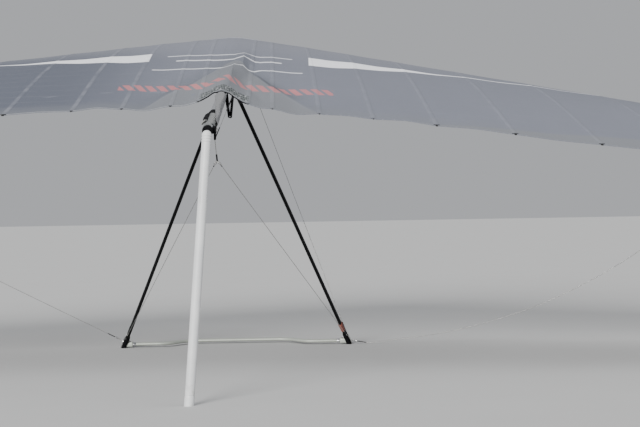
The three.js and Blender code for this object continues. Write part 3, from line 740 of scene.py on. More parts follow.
def bottomUp(station, out, share):
    leading, leadingUp, trailing, trailingUp, camber, radius = station
    roundShare = radius / (leading - trailing)
    frontUp = leadingUp - radius
    if share >= wing["merge"]:
        return topUp(station, out, share) - wing["rearThickness"]
    if share < roundShare:
        return frontUp + radius * (1 - math.sqrt(max(0.0, 1 - (1 - share / roundShare) ** 2)))
    mergeUp = topUp(station, out, wing["merge"]) - wing["rearThickness"]
    return frontUp + (share - roundShare) / (wing["merge"] - roundShare) * (mergeUp - frontUp)


def wingColumns(supports, first, last):
    # columns at each rib's pocket edges, halfway between ribs, and evenly elsewhere
    columns = {first, last}
    for rib in supports[1:-1]:
        columns.add(rib + 0.0)
        for off in (0.0115, 0.0132, 0.0150, 0.022):
            columns.update((rib - off, rib + off))
    for near, far in zip(supports, supports[1:]):
        columns.add((near + far) / 2)
        space = 0.026 if near < 0.55 else 0.06 if near < 1.6 else 0.09
        start, end = near + 0.024, far - 0.024
        count = max(int((end - start) / space), 1)
        columns.update(start + (end - start) * k / count for k in range(1, count))
    ordered = sorted(columns)
    kept = [ordered[0]]
    for column in ordered[1:]:
        if column - kept[-1] > 0.0012:
            kept.append(column)
    kept[-1] = last
    return kept


def sailPlace(supports, sign, column, row):
    # where a column and a row of the sail's skin lie: the row's sign tells top from bottom
    share = abs(row)
    top = row > 0
    near = min(abs(column - place) for place in supports[1:-1])
    index = max(k for k in range(len(supports) - 1) if supports[k] <= column + 1e-9)
    halfGap = (supports[index + 1] - supports[index]) / 2
    # the cloth hangs a little between two ribs, less where they are close
    slack = ease(min(abs(column - place) for place in supports) / halfGap, 0.0, 1.0)
    slack *= min(1.0, (halfGap / 0.12) ** 2)
    station = stationAt(column)
    chord = station[0] - station[2]
    lean = pocketLook["lean"] * ease(column, 0.04, 0.30) * (1 - ease(column, 2.0, 4.3))
    out = column * (1 - lean * (1 - share) * chord)
    station = stationAt(out)
    chord = station[0] - station[2]
    if top:
        up = topUp(station, sign * out, share)
        front = ease(share, wing["frontShare"], wing["frontShare"] + 0.09)
        up -= pocketLook["sag"] * slack * front * (1 - 0.45 * share)
        up += pocketLook["rise"] * (1 - ease(near, 0.0115, 0.0150)) * front
    else:
        up = bottomUp(station, sign * out, share)
        up -= 0.002 * (1 - slack) * ease(share, 0.2, 0.3) * (1 - ease(share, 0.78, 0.84))
    hollow = pocketLook["hollow"] * slack * ease(share, 0.9, 1.0)
    if share > wing["merge"] and not top:
        up -= pocketLook["sag"] * slack * 0.55
    wave = edgeWaves["right" if sign > 0 else "left"][index]
    partWay = (column - supports[index]) / (supports[index + 1] - supports[index])
    up += wave * math.sin(math.pi * partWay) ** 2 * ease(share, 0.72, 1.0)
    along = station[0] - share * chord + hollow
    place = fromWing(sign * out, along, up)
    return place, (sign * out, along), (near, share if top else -share)


def spread(start, end, count):
    return [start + (end - start) * k / count for k in range(count + 1)]


def supportsOf(sideName):
    # what holds the cloth up: the keel pocket's edge, the ribs and the tip
    return [wing["rootGap"], *ribs[sideName], wing["tipStart"]]


for sideName, sign in sides.items():
    supports = supportsOf(sideName)
    columns = wingColumns(supports, wing["rootGap"], wing["tipStart"])
    front = wing["frontShare"] + 0.0002
    topRows = spread(front, 0.62, 24) + spread(0.62, 1.0, 20)[1:]
    bottomRows = [-share for share in spread(1.0, 0.85, 6) + spread(0.845, front, 16)]
    form = bmesh.new()
    grown(form, columns, topRows + bottomRows,
          lambda column, row: sailPlace(supports, sign, column, row))
    sail = addPiece(f"sail_skin_{sideName}", form, sailCloth, instead=[f"sail_panel_{sideName}"])
    thicken(sail, wing["cloth"])

    # leading edge: the laminated cloth that wraps the front tube
    edgeShares = [0.0, 0.0008, 0.003, 0.007, 0.013, 0.021, 0.031, 0.043, 0.058, 0.076, 0.097, 0.114, 0.13]
    edgeRows = [(share, True) for share in reversed(edgeShares)]
    edgeRows += [(share, False) for share in edgeShares[1:]]

    def edgePlace(out, row):
        share, top = row
        station = stationAt(out)
        chord = station[0] - station[2]
        up = topUp(station, sign * out, share) if top else bottomUp(station, sign * out, share)
        if share == 0:
            up = station[1]
        along = station[0] - share * chord
        nearSeam = (wing["frontShare"] - share) * chord
        return fromWing(sign * out, along, up), (sign * out, along), (nearSeam, share if top else -share)

    form = bmesh.new()
    grown(form, spread(0.1606, wing["tipStart"], 74), edgeRows, edgePlace)
    edge = addPiece(f"leading_edge_skin_{sideName}", form, edgeCloth,
                    instead=[f"leading_edge_{sideName}"])
    thicken(edge, wing["cloth"])

    # tip: the cloth draws in round the end of the wing
    tipShares = [0.0, 0.004, 0.012, 0.025, 0.045, 0.07, 0.10, 0.13, 0.18, 0.25, 0.33, 0.42, 0.50]
    backShares = [0.50, 0.60, 0.70, 0.78, 0.85, 0.92, 0.97, 1.0]
    tipRing = [(share, True) for share in backShares] + [(share, False) for share in reversed(backShares)]
    tipRing += [(share, False) for share in reversed(tipShares[:-1])]
    tipRing += [(share, True) for share in tipShares[1:]]

    def tipPlace(column, row):
        share, top = row
        out, squeeze = column
        station = stationAt(out)
        chord = station[0] - station[2]
        upper = topUp(station, 9.0, share)
        lower = bottomUp(station, 9.0, share)
        if share == 0:
            upper = lower = station[1]
        middle = (upper + lower) / 2
        up = middle + ((upper if top else lower) - middle) * squeeze
        along = station[0] - share * chord
        nearSeam = out - wing["tipStart"]
        place = fromWing(sign * (out + 0.006 * (1 - squeeze)), along, up)
        return place, (sign * out, along), (nearSeam, share if top else -share)

    tipColumns = [(out, 1.0) for out in spread(4.5006, 5.12, 30)] + [(5.12, 0.86), (5.12, 0.5), (5.12, 0.0)]
    form = bmesh.new()
    grown(form, tipColumns, tipRing, tipPlace, joined=True)
    tip = addPiece(f"wing_tip_skin_{sideName}", form, edgeCloth,
                   instead=[f"wing_tip_{sideName}"])
    thicken(tip, wing["cloth"])

print("wing skins made")

# Hem, binding, rib ends of the trailing edge
ribEndLook = {"width": 0.012, "length": 0.028, "thickness": 0.0060, "slim": 0.65, "slimWithin": 0.9}
hemSection = [(-0.0085, 0.0022), (0.0, 0.0030), (0.0075, 0.0030), (0.0085, 0.0), (0.0075, -0.0030),
              (0.0, -0.0030), (-0.0085, -0.0022), (-0.0085, 0.0022)]


def trailingPoint(sideName, column, inset, drop):
    place = sailPlace(supportsOf(sideName), sides[sideName], column, 1.0)[0]
    return place + wingTurn @ Vector((0, inset, -drop))


for sideName in sides:
    supports = supportsOf(sideName)
    columns = [c for c in wingColumns(supports, 0.10, wing["tipStart"]) if c >= supports[1]]
    path = [trailingPoint(sideName, c, 0.0055, 0.0021) for c in columns]

    def hemPlace(column, row):
        back, up = column
        place = path[row] + wingTurn @ Vector((0, -back + 0.003, up))
        return place, (columns[row], hemSection.index(column) * 0.006), (0.0, 0.0)

    form = bmesh.new()
    grown(form, hemSection, list(range(len(path))), hemPlace, joined=True)
    bmesh.ops.holes_fill(form, edges=form.edges, sides=0)
    hem = addPiece(f"trailing_hem_{sideName}", form, hemTape)

    form = bmesh.new()
    for rib in ribs[sideName]:
        place = trailingPoint(sideName, rib, -0.004, 0.002)
        turn = Matrix.Translation(place) @ wingTurn.to_4x4()
        # the ends near the keel are slimmer
        slim = ribEndLook["slim"] if rib < ribEndLook["slimWithin"] else 1.0
        size = (ribEndLook["width"] * slim, ribEndLook["length"], ribEndLook["thickness"] * slim)
        block(form, size, turn, 0.0018, 3)
        loop = turn @ moved(0, 0.006, 0.0030 * slim) @ spun(90, "Y")
        turned(form, [(0.0008, -0.016 * slim), (0.0020, -0.014 * slim), (0.0020, 0.014 * slim),
                      (0.0008, 0.016 * slim), (0.0008, -0.016 * slim)], loop, 12)
    ends = addPiece(f"rib_ends_{sideName}", form, blackPlastic)

# dark binding along the arch over the keel, near black also as painted shadow under the hem, and a pale hem
# in front of it
archColumns = spread(-ribs["left"][0] + 0.006, ribs["right"][0] - 0.006, 60)


def archPoint(out):
    station = stationAt(out)
    return fromWing(out, station[2] - 0.001, topUp(station, out, 1.0) - 0.0016)


form = bmesh.new()
archPath = [archPoint(out) for out in archColumns]
swept(form, pathFrames(archPath, Vector((0, 1, 0))), oval(0.0026, 0.0030), 12)
binding = addPiece("arch_binding", form, edgeBindingAndShadow)
form = bmesh.new()
hemPath = [fromWing(out, stationAt(out)[2] + 0.012, topUp(stationAt(out), out, 1 - 0.012 / 2.2) + 0.0008)
           for out in archColumns]
swept(form, pathFrames(hemPath, Vector((0, 1, 0))), oval(0.0016, 0.0095), 12)
archHem = addPiece("arch_hem", form, hemTape)

# Keel pocket: the strip of cloth over the keel, with its walls and floor
pocket = {"halfWidth": 0.0357, "floor": 0.0223, "crest": 0.0006, "wall": 0.005,
          "hangFloor": 0.0515, "hangAlong": 2.2, "hangRoom": 0.0465}
pocketRing = [("top", x) for x in spread(-1.0, 1.0, 16)] + [("right", 0.33), ("right", 0.67)]
pocketRing += [("floor", x) for x in spread(1.0, -1.0, 4)] + [("left", 0.67), ("left", 0.33), ("top", -1.0)]


def pocketPlace(column, share):
    part, amount = column
    station = stationAt(wing["rootGap"])
    along = station[0] - share * (station[0] - station[2])
    inHang = abs(along - pocket["hangAlong"]) < pocket["hangRoom"]
    sideUp = topUp(station, pocket["halfWidth"], share)
    sideFloor = pocket["hangFloor"] if inHang else min(pocket["floor"], sideUp - pocket["wall"])
    floor = sideFloor
    if part == "floor" and not inHang:
        floor += (pocket["floor"] + pocket["crest"] - sideFloor) * (1 - abs(amount))
    out = pocket["halfWidth"] * (amount if part in ("top", "floor") else 1 if part == "right" else -1)
    trailingShift = smoothBetween(trailingHeights, out)[0] - station[3]
    fade = (max(share - wing["archFrom"], 0.0) / (1 - wing["archFrom"])) ** wing["archFade"]
    up = topUp(station, out, share) + fade * trailingShift
    if part == "floor":
        up = floor
    if part in ("right", "left"):
        up = up + (floor - up) * amount
    return fromWing(out, along, up), (out, along), (0.09 - abs(out), share)


station = stationAt(wing["rootGap"])
rootChord = station[0] - station[2]
hangShares = [(station[0] - pocket["hangAlong"] + off) / rootChord
              for off in (-0.0475, -0.0455, 0.0455, 0.0475)]
pocketRows = sorted([*spread(wing["frontShare"] + 0.0002, 1.0, 56), *hangShares])
form = bmesh.new()
grown(form, pocketRing, pocketRows, pocketPlace, joined=True)
keelPocket = addPiece("keel_pocket_skin", form, sailCloth, instead=["keel_pocket"])
thicken(keelPocket, wing["cloth"])

# Nose cone: the soft cover over the nose, with an elastic hem
coneLook = {"halfWidth": 0.160, "lip": 0.045, "thickness": 0.0028}


def conePlace(column, row):
    out = coneLook["halfWidth"] * row
    station = stationAt(out)
    leading = wing["nose"] + wing["sweep"] * math.sqrt(out * out + 0.0009)
    chord = station[0] - station[2]
    rear = station[0] - wing["frontShare"] * chord + 0.0006
    front = leading + coneLook["lip"]
    shares = [0.122, 0.10, 0.075, 0.05, 0.03, 0.014]
    points = [(rear, topUp(station, out, wing["frontShare"]) + 0.0015)]
    points += [(station[0] - share * chord + 0.012, topUp(station, out, share) + 0.0045) for share in shares]
    points += [(front - 0.006, 0.024), (front, 0.008), (front + 0.002, -0.010), (front - 0.003, -0.026),
               (front - 0.014, -0.034), (front - 0.027, -0.036), (front - 0.034, -0.024)]
    along, up = points[column]
    return fromWing(out, along, up), (out, along), (abs(along - rear), 0.5)


form = bmesh.new()
grown(form, list(range(14)), spread(-1.0, 1.0, 32), conePlace)
noseCone = addPiece("nose_cone_skin", form, noseCloth, instead=["nose_cone"])
thicken(noseCone, coneLook["thickness"])
print("wing trim made")

# Keel tube and the capped rubber plug in its rear end
keelLook = {"radius": 0.022, "wall": 0.002, "length": 3.5, "bore": 0.0083, "cap": 0.0233, "capLength": 0.027}
form = bmesh.new()
keelOuter, keelInner = keelLook["radius"], keelLook["radius"] - keelLook["wall"]
turned(form, [(keelInner, 0), (keelOuter - 0.0003, 0), (keelOuter, 0.0003), (keelOuter, keelLook["length"]),
              (keelInner, keelLook["length"]), (keelInner, 0)], tubeFrame, 56)
addPiece("keel_tube_round", form, silverTube, instead=["keel_tube"])
form = bmesh.new()
plugInner = keelInner - 0.0003
cap, capEnd = keelLook["cap"], keelLook["capLength"]
turned(form, [(keelLook["bore"], -0.0052), (keelLook["bore"] + 0.0008, -0.006), (cap - 0.0024, -0.006),
              (cap - 0.0007, -0.0052), (cap, -0.0034), (cap, capEnd - 0.0012), (cap - 0.0004, capEnd),
              (keelOuter + 0.0003, capEnd), (keelOuter + 0.0003, -0.0003), (plugInner, -0.0003),
              (plugInner, 0.030), (keelLook["bore"], 0.030), (keelLook["bore"], -0.0052)], tubeFrame, 56)
addPiece("keel_plug", form, blackRubber, instead=["keel_rear_plug"])

# Cloth cover on the rear keel. Its free edge crosses the tube from left to right towards the rear,
# and a grey pad, a webbing band and a strap lie on the tube left of that edge.
coverLook = {"from": 0.222, "to": 1.228, "radius": 0.0259, "edgeAlong": 0.716, "edgeSlope": 0.0526,
             "slack": 0.3, "flare": 0.26, "thickness": 0.0010, "hemTo": 1.19}


def roundKeel(angle, along, radius):
    # a point round the keel: the angle runs from its top over the left side
    return fromKeel(-radius * math.sin(angle), along, radius * math.cos(angle))


def edgeTurn(along, radius, stretch=1.0):
    # how far past the keel's top and bottom the cover's free edge lies, towards the left
    past = coverLook["edgeSlope"] * (along - coverLook["edgeAlong"])
    if past < 0:
        radius *= stretch
    return math.asin(max(min(past / radius, 0.9999), -0.97))


def coverPlace(turn, along):
    # the right half hangs slack, wider than a circle towards the rear
    behind = (coverLook["to"] - along) / (coverLook["to"] - coverLook["from"])
    stretch = 1 + coverLook["slack"] * behind
    reach = edgeTurn(along, coverLook["radius"], stretch)
    angle = math.pi - reach + (math.pi + 2 * reach) * turn
    toRight = max(0.0, -math.sin(angle))
    atEdge = 1 - ease(min(turn, 1 - turn), 0.0, 0.07)
    drape = noise.noise(Vector((math.cos(angle) * 1.5, math.sin(angle) * 1.5, along * 6)))
    radius = coverLook["radius"] + 0.0014 * drape * (0.4 + 0.6 * toRight)
    radius += 0.0007 * math.sin(angle * 5 + 2.2 * math.sin(along * 6)) * ease(along, 0.3, 0.5)
    radius += 0.0004 * math.sin(along * 70 + 3 * math.sin(angle)) * (0.25 + 0.75 * toRight)
    radius += 0.0006 * atEdge * math.sin(along * 31) * ease(along, 0.3, 0.5)
    rear = 1 - ease(along, coverLook["from"], coverLook["from"] + 0.02)
    radius = max(radius - 0.0016 * rear, 0.0234)
    out = -radius * math.sin(angle)
    # and the left half stands off a little where the cover goes in under the sail
    fallBack = 1 - 0.6 * ease(along, 1.18, coverLook["to"])
    leftStretch = 1 + coverLook["flare"] * ease(along, 0.70, 1.15) * fallBack
    place = fromKeel(out * (stretch if out > 0 else leftStretch), along, radius * math.cos(angle))
    return place, (turn * 0.16, along), (0.0, 0.0)


form = bmesh.new()
grown(form, spread(0.0, 1.0, 56), spread(coverLook["from"], coverLook["to"], 120), coverPlace)
cover = addPiece("keel_cover_cloth", form, coverCloth, instead=["keel_cover"])
thicken(cover, coverLook["thickness"])
form = bmesh.new()
for turn in (0.012, 0.988):
    alongs = spread(coverLook["from"] + 0.030, coverLook["hemTo"], 70)
    middle = [fromKeel(0, along, 0) for along in alongs]
    hemWay = [coverPlace(turn, along)[0] for along in alongs]
    lifted = [point + (point - centre).normalized() * 0.0006 for point, centre in zip(hemWay, middle)]
    outward = [(point - centre).normalized() for point, centre in zip(lifted, middle)]
    swept(form, pathFrames(lifted, outward), oval(0.0032, 0.0009), 12)
coverHem = addPiece("keel_cover_hem", form, coverCloth)

cuffLook = {"from": 0.030, "to": 0.418, "radius": 0.0240, "thickness": 0.0029}


def wrapAngles(along, radius):
    # the pad and the band reach from the cover's edge over the left side and back under to it,
    # and stay clear of the rear tang on the keel's right side
    room = 0.0143 + 0.0110 * ease(along, 0.094, 0.118)
    reach = max(edgeTurn(along, radius), -math.asin(min(room / radius, 0.97)))
    return reach + 0.02, math.pi - reach - 0.02


def cuffPlace(turn, along):
    start, end = wrapAngles(along, cuffLook["radius"])
    angle = start + (end - start) * turn
    edge = min(turn, 1 - turn) * (end - start) * cuffLook["radius"]
    puff = ease(edge, 0.0, 0.012) * ease(along, cuffLook["from"], cuffLook["from"] + 0.012)
    puff *= 1 - ease(along, cuffLook["to"] - 0.012, cuffLook["to"])
    channel = abs(math.sin(math.pi * (along - cuffLook["from"]) / 0.077)) ** 0.5
    radius = cuffLook["radius"] + 0.0005 * puff * (channel - 0.4)
    radius += 0.0002 * noise.noise(Vector((angle * 2.3, along * 26, 0.7)))
    return roundKeel(angle, along, radius), (angle * 0.024, along), (edge, 0.0)


form = bmesh.new()
cuffRows = spread(cuffLook["from"] + 0.001, cuffLook["to"] - 0.001, 80)
grown(form, spread(0.0, 1.0, 44), cuffRows, cuffPlace)
cuff = addPiece("keel_pad", form, padCloth, instead=["keel_cuff"])
thicken(cuff, cuffLook["thickness"], 0.0)
roundEdges(cuff, "soft_edge", 0.0011, 3)

bandLook = {"from": 0.420, "to": 0.530, "radius": 0.0244, "thickness": 0.0028}


def bandPlace(turn, along):
    start, end = wrapAngles(along, bandLook["radius"])
    angle = start + (end - start) * turn
    ply = 0.0006 * (1 - abs(along - 0.475) / 0.055)
    wave = 0.0003 * math.sin(angle * 5 + 1.0) + 0.0003 * math.sin(along * 170) + ply
    return roundKeel(angle, along, bandLook["radius"] + wave), (angle * 0.0245, along), (0.0, 0.0)


form = bmesh.new()
grown(form, spread(0.0, 1.0, 36), spread(bandLook["from"], bandLook["to"], 22), bandPlace)
band = addPiece("keel_band_webbing", form, blackWebbing, instead=["keel_band"])
thicken(band, bandLook["thickness"], 0.0)

strapLook = {"from": 0.150, "to": 0.4185, "width": 0.027, "turn": 47.0, "radius": 0.0276, "twist": 17.0,
             "thickness": 0.0034, "tailFrom": 0.112, "tailThickness": 0.0044}
halfStrap = strapLook["width"] / 2


def strapPlace(across, along):
    # the strap bows off the pad's upper left side, and its tail stands a little off it;
    # towards the band its lower edge is turned outwards
    bow = 0.0012 * math.sin(math.pi * ease(along, 0.15, 0.42)) ** 2 + 0.0005 * math.sin(along * 60)
    twist = math.radians(strapLook["twist"]) * ease(along, 0.17, 0.30)
    lift = bow + 0.010 * (1 - ease(along, 0.10, 0.175)) ** 2 + (halfStrap - across) * math.sin(twist)
    cupped = 7.0 * across * across * math.cos(twist)
    point = Vector((across * math.cos(twist), along, strapLook["radius"] + lift - cupped))
    return keelFrame @ spun(-strapLook["turn"], "Y") @ point, (across, along), (0.0, 0.0)


strapColumns = spread(-halfStrap, halfStrap, 8)
form = bmesh.new()
grown(form, strapColumns, spread(strapLook["from"], strapLook["to"], 50), strapPlace)
strap = addPiece("keel_strap_webbing", form, blackWebbing, instead=["keel_strap"])
thicken(strap, strapLook["thickness"], 0.0)
form = bmesh.new()
grown(form, strapColumns, spread(strapLook["tailFrom"], strapLook["from"] - 0.0004, 10), strapPlace)
tail = addPiece("strap_tail", form, greyLoopTape)
thicken(tail, strapLook["tailThickness"], 0.0)
print("keel and its covers made")

# Pole behind the keel's end: foot, tube with raised rings below its head, and its pin
poleLook = {"foot": (-0.09, -1.78, 0.0), "radius": 0.021, "footHeight": 0.045,
            "pinBack": 0.030, "pinRadius": 0.008, "pinLength": 0.056}
ringProfile = [(-0.0048, 0.0), (-0.0038, 0.0009), (-0.0017, 0.0014), (0.0017, 0.0014), (0.0038, 0.0009),
               (0.0048, 0.0)]
poleFoot = Vector(poleLook["foot"])
pinCentre = fromKeel(0, -poleLook["pinBack"], 0)
poleFrame = strutFrame(poleFoot, pinCentre, keelForward)
headHeight = (pinCentre - poleFoot).length
r = poleLook["radius"]
headBase = headHeight - 0.012
rings = [(r + rise - 0.0005, headBase + middle + off)
         for middle in (-0.026, -0.014, -0.002) for off, rise in ringProfile]
head = [(r * math.cos(math.radians(turn)), headBase + r * math.sin(math.radians(turn)))
        for turn in (10, 20, 32, 44, 56, 68, 80)]
form = bmesh.new()
turned(form, [(0, poleLook["footHeight"] + 0.0003), (r, poleLook["footHeight"] + 0.0003),
              (r, headHeight * 0.5), *rings, *head, (0, headBase + r)], poleFrame, 56)
addPiece("pole_tube", form, polePaint, instead=["prop_pole"])
form = bmesh.new()
pinRadius, pinEnd = poleLook["pinRadius"], poleLook["pinLength"]
turned(form, [(0, 0), (pinRadius, 0), (pinRadius, pinEnd - 0.002), (0.0066, pinEnd), (0, pinEnd)],
       tubeFrame @ moved(0, 0, -poleLook["pinBack"]), 28)
addPiece("pole_pin", form, boltSteel)
form = bmesh.new()
turned(form, [(0, -0.02), (r + 0.001, -0.02), (r + 0.001, 0.034), (r + 0.0004, 0.040), (r - 0.001, 0.0448),
              (0, 0.0448)], poleFrame, 56)
bmesh.ops.edgeloop_fill(form, edges=cutAbove(form, 0))
addPiece("pole_foot_cap", form, polePaint, instead=["pole_foot"])

# Control frame: two downtubes, their bolted top ends, the apex bracket, corners and base bar
frameLook = {
    "apexAlong": 2.030, "apexDrop": 0.040, "topSpread": 0.029,
    "cornerX": 0.681, "cornerY": 0.879, "cornerZ": 0.022,
    "chord": 0.062, "thickness": 0.022, "knuckle": (0.020, 0.030, 0.080),
    "sleeveAbove": 0.050, "sleeve": (0.030, 0.070),
    "stub": (0.050, 0.046, 0.030), "stubRib": (0.0022, 0.0464, 0.0304),
    "stayPlate": (0.022, 0.052, 0.0026), "outerPlate": (0.0036, 0.032, 0.062),
}


def tubeOutline(x, y):
    taper = 0.93 + 0.07 * y
    return Vector((x * taper * frameLook["thickness"] / 2, y * frameLook["chord"] / 2, 0.0))


def sleeveOutline(x, y, width, depth):
    # a rounder box than the tube: the moulding around it
    wide = math.copysign(abs(x) ** 0.7, x)
    deep = math.copysign(abs(y) ** 0.8, y)
    return Vector((wide * width / 2, deep * depth / 2, 0.0))


def atCorner(x, up=0.0):
    return Vector((x, frameLook["cornerY"], frameLook["cornerZ"] + up))


def downtubeLay(sign):
    # a downtube's frame, with its Z from its top to its corner, and the way between them
    top = fromKeel(sign * frameLook["topSpread"], frameLook["apexAlong"], -frameLook["apexDrop"])
    corner = atCorner(sign * frameLook["cornerX"])
    return strutFrame(top, corner, keelForward), (corner - top).length


for sideName, sign in sides.items():
    strut, length = downtubeLay(sign)
    form = bmesh.new()
    start, end = frameLook["knuckle"][2] + 0.0003, length - frameLook["sleeveAbove"] - 0.0003
    heights = [start, start + 0.5 * (end - start), end]
    swept(form, [strut @ moved(0, 0, height) for height in heights], tubeOutline, 56)
    addPiece(f"downtube_smooth_{sideName}", form, blackTube,
             instead=[f"downtube_{sideName}"])

    # knuckle at the top: a flat tongue with rounded corners and its bolts
    form = bmesh.new()
    block(form, frameLook["knuckle"], strut @ moved(0, 0, 0.040), 0.003, 3)
    for height in (0.022, 0.058):
        boltedFaces(form, strut, 0, 0.015, height, 0.0042)
    addPiece(f"downtube_knuckle_{sideName}", form, brushedSteel,
             instead=[f"downtube_top_{sideName}"])

    # black collar where the knuckle enters the tube
    form = bmesh.new()
    collar = [(start - 0.006 + height, scale, scale)
              for height, scale in ((0.0, 0.93), (0.003, 1.0), (0.026, 1.0), (0.030, 0.94))]
    swept(form, stacked(strut, collar), lambda x, y: tubeOutline(x, y) * 1.09, 56)
    addPiece(f"downtube_collar_{sideName}", form, blackPlastic)

    # corner: a moulding around the tube's foot, with a socket for the base bar
    form = bmesh.new()
    width, depth = frameLook["sleeve"]
    steps = [(-0.050, 0.90), (-0.0475, 0.97), (-0.043, 1.0), (0.030, 1.0), (0.038, 0.97), (0.040, 0.92)]
    swept(form, stacked(strut, [(length + height, scale, scale) for height, scale in steps]),
          lambda x, y: sleeveOutline(x, y, width, depth), 48)
    bmesh.ops.holes_fill(form, edges=cutAbove(form, 0.0002), sides=0)
    addPiece(f"corner_moulding_{sideName}", form, blackRubber,
             instead=[f"corner_bracket_{sideName}"])

    # light socket that takes the base bar's end
    form = bmesh.new()
    stubPlace = Matrix.Translation(atCorner(sign * (frameLook["cornerX"] - 0.025)))
    block(form, frameLook["stub"], stubPlace, 0.0075, 4)
    for rib in (-0.018, -0.012, 0.012):
        block(form, frameLook["stubRib"], stubPlace @ moved(sign * rib, 0, 0), 0.0008, 2)
    addPiece(f"corner_socket_{sideName}", form, barMetal)

    # steel of the corner: the through bolt, the stays' plate and the quick pin with its ring
    form = bmesh.new()
    faceOut = strut @ moved(0, 0.0, length - 0.030) @ spun(90, "Y")
    bolt(form, faceOut @ moved(0, 0, width / 2), 0.0052)
    bolt(form, faceOut @ spun(180, "X") @ moved(0, 0, width / 2), 0.0052)
    bolt(form, stubPlace @ moved(-sign * 0.010, 0, frameLook["stub"][2] / 2), 0.0044)
    platePlace = moved(sign * (frameLook["cornerX"] + 0.004), frameLook["cornerY"], 0.044)
    block(form, frameLook["stayPlate"], platePlace @ spun(12 * sign, "Y"), 0.001, 2)
    outerPlate = strut @ moved(-sign * (width / 2 + 0.0024), 0, length - 0.004)
    block(form, frameLook["outerPlate"], outerPlate, 0.0012, 2)
    bolt(form, outerPlate @ spun(-90 * sign, "Y") @ moved(0.016, 0, 0.0018), 0.0046)
    ringPath = []
    for turn in spread(0.0, 2 * math.pi, 24):
        ringPath.append(stubPlace @ Vector((-sign * 0.010 + 0.009 * math.cos(turn),
                                            0.026 + 0.0035 * math.sin(turn), 0.009 * math.sin(turn) + 0.002)))
    swept(form, pathFrames(ringPath, Vector((0.3, 1, 0.1))), oval(0.0009, 0.0009), 8)
    addPiece(f"corner_steel_{sideName}", form, boltSteel)

# red-brown tape wound in three thick turns around the right downtube
strut, length = downtubeLay(sides["right"])
form = bmesh.new()
tapeSteps = []
for turn in range(3):
    for off, swell in ((0.0, 1.14), (0.003, 1.34), (0.008, 1.42), (0.013, 1.36), (0.0165, 1.16)):
        across = swell - 0.05 * turn
        tapeSteps.append((length - 0.126 + 0.0168 * turn + off, across, 0.5 + across / 2))
swept(form, stacked(strut, tapeSteps), tubeOutline, 56)
addPiece("tape_band", form, redTape)

# apex bracket: a folded channel across the keel, with the bolts that hold the knuckles
form = bmesh.new()
apexPlace = keelFrame @ moved(0, frameLook["apexAlong"], -0.0223)
block(form, (0.110, 0.048, 0.004), apexPlace @ moved(0, 0, -0.002), 0.0012, 2)
for face in (1, -1):
    block(form, (0.110, 0.0035, 0.046), apexPlace @ moved(0, face * 0.02225, -0.023), 0.0012, 2)
block(form, (0.022, 0.040, 0.030), apexPlace @ moved(0, 0, -0.018), 0.002, 2)
for out in (-0.041, 0.0, 0.041):
    boltedFaces(form, apexPlace, out, 0.024, -0.026, 0.0046)
addPiece("apex_channel", form, brushedSteel, instead=["apex_bracket"])

# Base bar: a light oval tube, bent forward in its middle
barLook = {
    "end": 0.6307, "thickness": 0.022, "depth": 0.038,
    "bends": [(0.475, 0.0, 0.428, 0.0, 0.399, 0.040), (0.348, 0.118, 0.313, 0.172, 0.240, 0.172)],
}


def curvePoints(start, corner, end, count=12):
    return [(1 - t) ** 2 * Vector(start) + 2 * t * (1 - t) * Vector(corner) + t * t * Vector(end)
            for t in (k / count for k in range(count + 1))]


halfBar = [Vector((barLook["end"], 0.0))]
for startX, startY, cornerX, cornerY, endX, endY in barLook["bends"]:
    halfBar += curvePoints((startX, startY), (cornerX, cornerY), (endX, endY))
barPath = [Vector((-p.x, p.y)) for p in halfBar] + [p.copy() for p in reversed(halfBar)]
barPoints = [Vector((p.x, frameLook["cornerY"] + p.y, frameLook["cornerZ"])) for p in barPath]
barSection = oval(barLook["depth"] / 2, barLook["thickness"] / 2)
form = bmesh.new()
swept(form, pathFrames(barPoints, Vector((0, 0, 1))), barSection, 36)
addPiece("bent_base_bar", form, barMetal, instead=["base_bar"])
form = bmesh.new()
for sign in sides.values():
    cupStart = atCorner(sign * barLook["end"])
    cupFrame = strutFrame(cupStart, cupStart - Vector((sign * 0.03, 0, 0)), Vector((0, 0, 1)))
    cup = [(0.0, 1.05, 1.05), (0.001, 1.10, 1.10), (0.016, 1.10, 1.10), (0.0175, 1.04, 1.04)]
    swept(form, stacked(cupFrame, cup), barSection, 36)
addPiece("bar_collars", form, silverTube)
print("control frame made")

# Stays: steel cables with a loop, a pressed ferrule and a dark sleeve at each end
stayLook = {
    "radius": 0.0015, "ferrule": 0.0036, "ferruleLength": 0.016, "sleeve": 0.0027,
    "loopLength": 0.020, "loopWidth": 0.0105, "spread": 0.035, "catchAlong": 3.425, "catchUp": -0.0326,
    # the corner's eye over the bar, the side stays' tangs under the wing, the strop and the left stay's sag
    "cornerOut": 0.004, "cornerUp": 0.018, "tangOut": 3.130, "tangShare": 0.08, "strop": 0.270, "sag": 0.014,
}


def cableForm(form, points, radius):
    # a round cable whose lay map holds turns and metres
    forward = Vector((0, 0.2, 1)).normalized()
    frames = pathFrames(points, forward)
    runs = runsAlong(points)

    def cablePlace(turn, row):
        angle = 2 * math.pi * turn
        place = frames[row] @ Vector((radius * math.cos(angle), radius * math.sin(angle), 0))
        return place, (turn, runs[row]), (0.0, 0.0)

    grown(form, spread(0.0, 1.0, 10), list(range(len(points))), cablePlace, joined=True)


